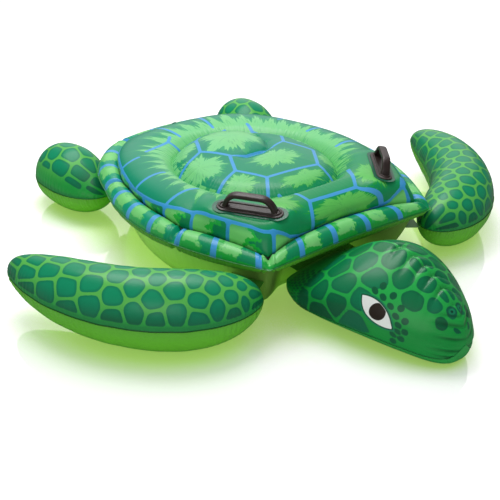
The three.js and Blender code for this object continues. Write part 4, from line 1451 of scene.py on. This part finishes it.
def recalculate(obj):
    mesh = bmesh.new()
    mesh.from_mesh(obj.data)
    bmesh.ops.holes_fill(mesh, edges=[e for e in mesh.edges if e.is_boundary], sides=0)
    bmesh.ops.recalc_face_normals(mesh, faces=mesh.faces)
    mesh.to_mesh(obj.data)
    mesh.free()
    obj.data.shade_smooth()


def plain_vinyl(name, first, second, cloud_scale, roughness, specular, coat, dents=0.5):
    """Unprinted sheet with soft clouds between two near colours."""
    paint = Paint(name)
    colour = paint.mix(paint.noise(paint.place(), cloud_scale, 3), first, second)
    return paint.finish(colour, roughness, specular, coat, slow_dents(paint, dents), 0.3)


def valve_plastic():
    paint = Paint("valve_plastic")
    place = paint.place()
    colour = paint.mix(paint.noise(place, 90, 3), "cfdcd6", "e4ece8")
    return paint.finish(colour, 0.3, 0.5, 0.2, paint.noise(place, 300, 3), 0.1,
                        {"Subsurface Weight": 0.4, "Subsurface Radius": (0.004, 0.004, 0.004)})


def restyle(nodes, material):
    for name in nodes:
        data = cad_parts[name].data
        data.materials.clear()
        data.materials.append(material)


# ---- stage ----
CAMERA_AZIMUTH = math.radians(-37.73)
CAMERA_ELEVATION = math.radians(29.49)
CAMERA_ROLL = math.radians(0.99)
CAMERA_TARGET = (-0.173, -0.124, 0.10)
CAMERA_DISTANCE = 2.446
CAMERA_LENS = 67.7
ROOM_LIGHT = 0.46
ROOM_GLOSS = 0.08
ROOM_WALL = 1.0
ROOM_SEEN = 0.95
FLOOR_REACH = 30.0
FLOOR_LIFT = 0.5
FLOOR_MIRROR = 0.3
FLOOR_GLOSS = 0.2


def floor_material():
    paint = Paint("studio_floor")
    place = paint.place()
    # painted glow: the floor turns lime where the float is near, for light thrown off and through its vinyl,
    # and the emission keeps that tint bright inside the shadow
    near = paint.node("ShaderNodeAmbientOcclusion", samples=8)
    near.inputs["Distance"].default_value = 0.2
    glow = paint.step(near.outputs["AO"], 0.86, 0.30)
    tint = paint.mix(glow, paint.mix(paint.noise(place, 2, 2), "fcfcfc", "ffffff"), "c9ea80")
    matt = paint.node("ShaderNodeBsdfDiffuse")
    paint.feed(matt.inputs["Color"], tint)
    lift = paint.node("ShaderNodeEmission")
    paint.feed(lift.inputs["Color"], tint)
    paint.feed(lift.inputs["Strength"], FLOOR_LIFT)
    both = paint.node("ShaderNodeAddShader")
    paint.feed(both.inputs[0], matt.outputs[0])
    paint.feed(both.inputs[1], lift.outputs[0])
    mirror = paint.node("ShaderNodeBsdfGlossy")
    paint.feed(mirror.inputs["Roughness"], paint.math("MULTIPLY_ADD", paint.noise(place, 3, 2), 0.02, 0.05))
    blend = paint.node("ShaderNodeMixShader")
    paint.feed(blend.inputs[0], FLOOR_MIRROR)
    paint.feed(blend.inputs[1], both.outputs[0])
    paint.feed(blend.inputs[2], mirror.outputs[0])
    # the vinyl's own gloss sees a darker floor, so that it keeps deep colours
    dim = paint.node("ShaderNodeBsdfDiffuse")
    paint.feed(dim.inputs["Color"], (FLOOR_GLOSS, FLOOR_GLOSS, FLOOR_GLOSS, 1))
    choose = paint.node("ShaderNodeMixShader")
    paint.feed(choose.inputs[0], paint.node("ShaderNodeLightPath").outputs["Is Glossy Ray"])
    paint.feed(choose.inputs[1], blend.outputs[0])
    paint.feed(choose.inputs[2], dim.outputs[0])
    out = paint.node("ShaderNodeOutputMaterial")
    paint.feed(out.inputs["Surface"], choose.outputs[0])
    return paint.material


def build_stage():
    ticks = np.linspace(-FLOOR_REACH, FLOOR_REACH, 9) / MM
    points = np.array([[(x, y, 0.0) for x in ticks] for y in ticks])
    floor = grid_mesh("studio_floor", points, wall=0, outward=np.array([0, 0, -1000.0]))
    floor.location.z = -0.0006
    floor.data.materials.append(floor_material())

    world = bpy.data.worlds.new("studio")
    bpy.context.scene.world = world
    world.use_nodes = True
    # glossy rays see a darker room, so that the vinyl keeps deep colours, with a bright wall behind the float
    tree = world.node_tree
    background = tree.nodes["Background"]
    background.inputs["Color"].default_value = (1, 1, 1, 1)
    ray = tree.nodes.new("ShaderNodeLightPath")
    heading = tree.nodes.new("ShaderNodeTexCoord")
    toward = tree.nodes.new("ShaderNodeVectorMath")
    toward.operation = "DOT_PRODUCT"
    flat = math.cos(CAMERA_ELEVATION)
    toward.inputs[1].default_value = (-math.sin(CAMERA_AZIMUTH) * flat, math.cos(CAMERA_AZIMUTH) * flat,
                                      math.sin(CAMERA_ELEVATION))
    wall = tree.nodes.new("ShaderNodeMapRange")
    wall.inputs["From Min"].default_value = 0.80
    wall.inputs["From Max"].default_value = 0.92
    wall.inputs["To Min"].default_value = ROOM_GLOSS
    wall.inputs["To Max"].default_value = ROOM_WALL
    strength = tree.nodes.new("ShaderNodeMix")
    strength.inputs[2].default_value = ROOM_LIGHT
    tree.links.new(heading.outputs["Generated"], toward.inputs[0])
    tree.links.new(toward.outputs["Value"], wall.inputs["Value"])
    tree.links.new(ray.outputs["Is Glossy Ray"], strength.inputs[0])
    tree.links.new(wall.outputs["Result"], strength.inputs[3])
    seen = tree.nodes.new("ShaderNodeMix")
    seen.inputs[3].default_value = ROOM_SEEN
    tree.links.new(ray.outputs["Is Camera Ray"], seen.inputs[0])
    tree.links.new(strength.outputs[0], seen.inputs[2])
    tree.links.new(seen.outputs[0], background.inputs["Strength"])

    def soft_light(name, location, target, size, power):
        data = bpy.data.lights.new(name, "AREA")
        data.shape = "RECTANGLE"
        data.size, data.size_y = size
        data.energy = power
        light = bpy.data.objects.new(name, data)
        light.location = location
        light.rotation_euler = (Vector(target) - Vector(location)).to_track_quat("-Z", "Y").to_euler()
        bpy.context.scene.collection.objects.link(light)

    soft_light("overhead", (0.1, 0.9, 2.6), (0, 0, 0), (2.2, 1.6), 62)
    soft_light("front_fill", (-2.4, -2.2, 1.7), (0, -0.1, 0.1), (1.8, 1.6), 15)


def build_camera():
    a, e, r = CAMERA_AZIMUTH, CAMERA_ELEVATION, CAMERA_ROLL
    back = Vector((math.sin(a) * math.cos(e), -math.cos(a) * math.cos(e), math.sin(e)))
    right = Vector((math.cos(a), math.sin(a), 0))
    up = back.cross(right)
    turned_right = right * math.cos(r) + up * math.sin(r)
    turned_up = up * math.cos(r) - right * math.sin(r)
    data = bpy.data.cameras.new("camera")
    data.lens = CAMERA_LENS
    data.sensor_width = 36
    data.clip_start = 0.05
    data.clip_end = 100
    camera = bpy.data.objects.new("camera", data)
    matrix = Matrix((turned_right, turned_up, back)).transposed().to_4x4()
    matrix.translation = Vector(CAMERA_TARGET) + back * CAMERA_DISTANCE
    camera.matrix_world = matrix
    bpy.context.scene.collection.objects.link(camera)
    bpy.context.scene.camera = camera


lime = lime_vinyl("lime_vinyl", "62b626", "4f9d2c", "5cae2e")
build_hull(lime)
build_flippers(lime)
build_head()
build_handles()
nodes = sorted(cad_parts)
web = plain_vinyl("inner_web_vinyl", "a9bcae", "c6d2c8", 12, 0.45, 0.4, 0.0, 0.6)
tab = plain_vinyl("weld_tab_vinyl", "3c8a2c", "4f9d34", 14, 0.36, 0.3, 0.03)
restyle([n for n in nodes if "web" in n], web)
restyle([n for n in nodes if "weld_tab" in n], tab)
restyle([n for n in nodes if "valve" in n], valve_plastic())
build_stage()
build_camera()
bpy.context.scene.view_settings.view_transform = "Standard"
